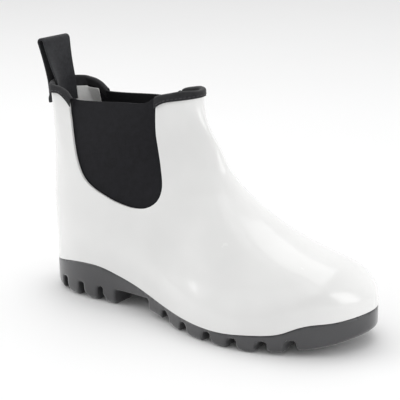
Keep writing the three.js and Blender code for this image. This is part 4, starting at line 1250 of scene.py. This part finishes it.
# %% The sole's sizes
EDGE_STEPS = 6
EDGE_CHANGE = 0.3 * LENGTH  # from here on the heel's rounding turns to the forefoot's
EDGE_CHANGE_LONG = 0.1 * LENGTH
EDGE_TALL = 1.6  # the lower edge's rounding is this much taller than it is wide
FORE_START = 0.405 * LENGTH
BREAST = 0.277 * LENGTH  # the heel's front face
GROOVE = 5
GROOVES = [  # along, across, for each groove of the forefoot
    [(0.5, 0.36), (0.497, 0.11), (0.55, -0.06), (0.578, -0.12), (0.614, 0.02), (0.645, 0.27), (0.64, 0.6)],
    [(0.562, 0.12), (0.575, 0.26), (0.565, 0.6)],
    [(0.683, 0.01), (0.724, 0.32), (0.716, 0.6)],
    [(0.734, -0.12), (0.805, 0.34), (0.795, 0.6)],
    [(0.86, 0.24), (0.83, 0.07), (0.834, -0.07), (0.85, -0.2), (0.863, -0.6)],
    [(0.52, -0.13), (0.49, -0.28), (0.474, -0.6)],
    [(0.56, -0.26), (0.552, -0.6)],
    [(0.632, -0.24), (0.64, -0.6)],
    [(0.65, -0.08), (0.695, -0.21), (0.717, -0.6)],
    [(0.772, -0.16), (0.794, -0.6)],
]
HEEL_CUTS = (0.085, 0.155, 0.225)
HEEL_CUT = 5.2
HEEL_ROUND = (8, 9)  # how long and how tall the rounded rear corner of a heel lug is
HEEL_RING = 22  # the lugs stand in a ring this wide, round a plain pocket
FORE_ROUND = (7.5, 5.5)
MOUTH_WIDE = (5.6, 7.6)  # width of the forefoot's side openings, from the waist to the toe
MOUTH_WIDE_AT = (0.5, 0.86)
FORE_MOUTH = 8.3  # their height
MOUTH_IN = 6
MOUTH_SPLAY = 0.62  # at the floor the mouth's rear edge is this share of its width from its middle
MOUTH_SEARCH = LENGTH / 20  # the outline this near a mouth says where the sole's side is
ROUND_STEPS = 7
UNDER_FLOOR = -2
HEEL_RISE = 2.4  # the heel's back edge stands off the floor
HEEL_RISE_LONG = 34
POCKET_DEPTH = 6
POCKET_TAPER = 0.7
WAIST_EDGE = 15  # the arch's height at the sides, and over its keel
WAIST_KEEL = 6.5
WAIST_HALF = 0.75 * WAIST_WIDTH
WAIST_STEEP = 1.5
WAIST_STEPS = 25
VOXEL = 1.15
FLOOR_LOW = -400


def edge_size(x):
    return HEEL_EDGE + (FORE_EDGE - HEEL_EDGE) * smooth((x - EDGE_CHANGE) / EDGE_CHANGE_LONG)


def ground(x):
    """The height of the sole's lowest line."""
    heel = HEEL_RISE * np.clip(1 - x / HEEL_RISE_LONG, 0, 1) ** 2
    return np.where(x < FORE_START, heel, tread_height(x))


print("heel from 0 to", round(BREAST), "mm, forefoot from", round(FORE_START), "mm")


# %% Parts of the sole
def sole_body():
    x = outline[:, 0]
    rings = [np.column_stack([drawn_in(edge_size), np.full(len(x), -RAND_HEIGHT)])]
    for i in range(EDGE_STEPS + 1):
        turn = math.pi / 2 * i / EDGE_STEPS
        flat = drawn_in(lambda along: edge_size(along) * (1 - math.sin(turn)))
        rings.append(np.column_stack([flat, ground(x) + edge_size(x) * EDGE_TALL * (1 - math.cos(turn))]))
    rings.append(np.column_stack([outline, np.full(len(x), 2.0 * RAND_HEIGHT)]))
    body = plain_solid("outsole_lugged", rings)
    combine(body, under_line("rand", rand_height), "INTERSECT")
    combine(body, under_line("floor", ground, low=FLOOR_LOW))
    bed = floor_prism("bed", drawn_in(RIM), 0, 3 * RAND_HEIGHT)
    combine(bed, under_line("bed_floor", bed_height))
    return combine(body, bed)


def groove_prism(name, points):
    line = np.array([(along * LENGTH, across * BALL_WIDTH) for along, across in points])
    tangent = np.gradient(line, axis=0)
    tangent /= np.linalg.norm(tangent, axis=1)[:, None]
    aside = np.stack([-tangent[:, 1], tangent[:, 0]], 1) * GROOVE / 2
    both_sides = np.vstack([line + aside, (line - aside)[::-1]])[::-1]
    prism = floor_prism(name, both_sides, -RAND_HEIGHT, 2 * RAND_HEIGHT)
    return combine(prism, under_line("ceiling", lambda x: tread_height(x) + FORE_LUG), "INTERSECT")


def lug_mouth(x, width, tall, corner, side, depth, floor_z=0.0):
    """A groove's mouth in the sole's side, which also rounds the lower rear corner of the lug before it."""
    long, high = corner
    turns = np.linspace(0, math.pi / 2, ROUND_STEPS)
    top = floor_z + tall
    lug = [(x + width / 2 + long * (1 - math.sin(t)), floor_z + high * (1 - math.cos(t))) for t in turns]
    line = [(x - width * MOUTH_SPLAY, UNDER_FLOOR), (x - width / 2, top), (x + width / 2, top), *lug[::-1],
            (x + width / 2 + long, UNDER_FLOOR)]
    edge = outline[(np.abs(outline[:, 0] - x) < MOUTH_SEARCH) & (outline[:, 1] * side > 0)][:, 1]
    return side_prism("lug_mouth", line, side * (np.abs(edge).min() - depth), side * BALL_WIDTH)


def cut_forefoot(body):
    for i, points in enumerate(GROOVES):
        combine(body, groove_prism(f"groove_{i}", points))
        along, across = points[-1]
        x = along * LENGTH
        wide = np.interp(along, MOUTH_WIDE_AT, MOUTH_WIDE)
        side = math.copysign(1, across)
        combine(body, lug_mouth(x, wide, FORE_MOUTH, FORE_ROUND, side, MOUTH_IN, float(tread_height(x))))


def cut_waist(body):
    keel = np.linspace(-1, 1, WAIST_STEPS)
    arch = WAIST_KEEL + (WAIST_EDGE - WAIST_KEEL) * np.minimum(1, WAIST_STEEP * keel ** 2)
    section = [(-WAIST_HALF, -1.0), *zip(keel * WAIST_HALF, arch), (WAIST_HALF, -1.0)]
    combine(body, plain_solid("waist", [[(x, y, z) for y, z in section] for x in (FORE_START, BREAST)]))


def cut_heel(body):
    for along in HEEL_CUTS:
        for side in (-1, 1):
            combine(body, lug_mouth(along * LENGTH, HEEL_CUT, HEEL_LUG, HEEL_ROUND, side, HEEL_RING))
    half = HEEL_WIDTH / 2 - HEEL_RING
    pocket = [(HEEL_RING, -POCKET_TAPER * half), (BREAST + 1, -half), (BREAST + 1, half),
              (HEEL_RING, POCKET_TAPER * half)]
    combine(body, floor_prism("pocket", pocket, -1, POCKET_DEPTH))


# %% Make the sole
sole = sole_body()
cut_forefoot(sole)
cut_waist(sole)
cut_heel(sole)
remesh = sole.modifiers.new("mould skin", "REMESH")
remesh.mode = "VOXEL"
remesh.voxel_size = VOXEL * MM
relax = sole.modifiers.new("mould radius", "SMOOTH")
relax.factor = 0.5
relax.iterations = 3
applied(sole)
sole.data.polygons.foreach_set("use_smooth", [True] * len(sole.data.polygons))
finish_piece(sole, "sole", "outsole")

# %% [markdown]
# ## Studio
# A plain pale floor and soft light from large lamps, as for a catalogue picture. Large lamps give glossy PVC
# broad, quiet highlights, where small ones would give hard spots.

# %% Floor and lamps
FLOOR_HALF = 3.0  # metres
MIDDLE = (0, 0, 0.09)
LAMPS = [  # name, place and size in metres, power in watts
    ("softbox_left", (-1.4, -0.8, 0.9), (1.0, 1.0), 7.8),
    ("softbox_right", (1.5, 0.15, 0.6), (0.8, 1.0), 5.5),
    ("softbox_top", (-0.1, 0.35, 1.5), (1.2, 1.2), 4.8),
    ("softbox_front", (0.45, -0.6, 1.4), (0.8, 0.8), 1.2),
]


def make_floor():
    mesh = bpy.data.meshes.new("floor")
    corners = [(x * FLOOR_HALF, y * FLOOR_HALF, 0) for x, y in ((-1, -1), (1, -1), (1, 1), (-1, 1))]
    mesh.from_pydata(corners, [], [(0, 1, 2, 3)])
    material, tree, shader, place = new_material("pale_studio_floor", Roughness=0.7)
    mottle(tree, shader, place, ("#F3F3F3", "#F7F7F7"), 500, (0, 1), Detail=2.0)
    mesh.materials.append(material)
    floor = bpy.data.objects.new("floor", mesh)
    bpy.context.scene.collection.objects.link(floor)
    return floor


def add_lamp(name, place, size, power):
    light = bpy.data.lights.new(name, "AREA")
    light.shape = "RECTANGLE"
    light.size, light.size_y = size
    light.energy = power
    lamp = bpy.data.objects.new(name, light)
    lamp.location = place
    lamp.rotation_euler = (Vector(MIDDLE) - Vector(place)).to_track_quat("-Z", "Y").to_euler()
    bpy.context.scene.collection.objects.link(lamp)


make_floor()
for lamp in LAMPS:
    add_lamp(*lamp)
print("lamps:", len(LAMPS))

# %% [markdown]
# A white backdrop stands behind the boot and the room on the camera's side is dimmer. The world's strength
# follows the direction for this, so that the boot's edges catch the backdrop and its near side stays soft.

# %% World
BACKDROP = (-0.55, 0.84, 0.0)  # the way to the backdrop
BACKDROP_STRENGTH = 1.06
ROOM_STRENGTH = 0.58

world = bpy.data.worlds.new("soft_studio")
world.use_nodes = True
room = world.node_tree
background = room.nodes["Background"]
background.inputs["Color"].default_value = linear("#FFFFFF")
way = add_node(room, "ShaderNodeTexCoord")
facing = add_node(room, "ShaderNodeVectorMath", {
    0: way.outputs["Generated"], 1: BACKDROP}, operation="DOT_PRODUCT")
strength = add_node(room, "ShaderNodeMapRange", {
    "Value": facing.outputs["Value"], "From Min": -0.3, "From Max": 0.6,
    "To Min": ROOM_STRENGTH, "To Max": BACKDROP_STRENGTH})
room.links.new(strength.outputs["Result"], background.inputs["Strength"])
bpy.context.scene.world = world
bpy.context.scene.view_settings.view_transform = "Standard"
print("world from", ROOM_STRENGTH, "to", BACKDROP_STRENGTH)

# %% [markdown]
# The camera stands where the picture was taken from, above the boot's outer front, and looks at its middle.
# The picture's lens shows little around the boot, so the camera takes a longer one.

# %% Camera
CAMERA_PLACE = (644.2, -676.9, 346.3)  # from the heel's back, in millimetres
ROLL = math.radians(-0.93)
SENSOR_WIDTH = 36
PICTURE_FOCUS = 976 / 400  # focal length over the picture's width, in the original framing
CLOSER = 1.22
AIM = (134.0, 0.0, 86.0)


def make_camera():
    data = bpy.data.cameras.new("camera")
    data.sensor_width = SENSOR_WIDTH
    data.lens = PICTURE_FOCUS * CLOSER * SENSOR_WIDTH
    data.dof.use_dof = False
    camera = bpy.data.objects.new("camera", data)
    place = Vector((np.array(CAMERA_PLACE) - SHIFT) * MM)
    aim = Vector((np.array(AIM) - SHIFT) * MM)
    turn = (aim - place).to_track_quat("-Z", "Y").to_matrix().to_4x4()
    camera.matrix_world = Matrix.Translation(place) @ turn @ Matrix.Rotation(ROLL, 4, "Z")
    bpy.context.scene.collection.objects.link(camera)
    bpy.context.scene.camera = camera
    return camera


camera = make_camera()
print("lens:", round(camera.data.lens), "mm")
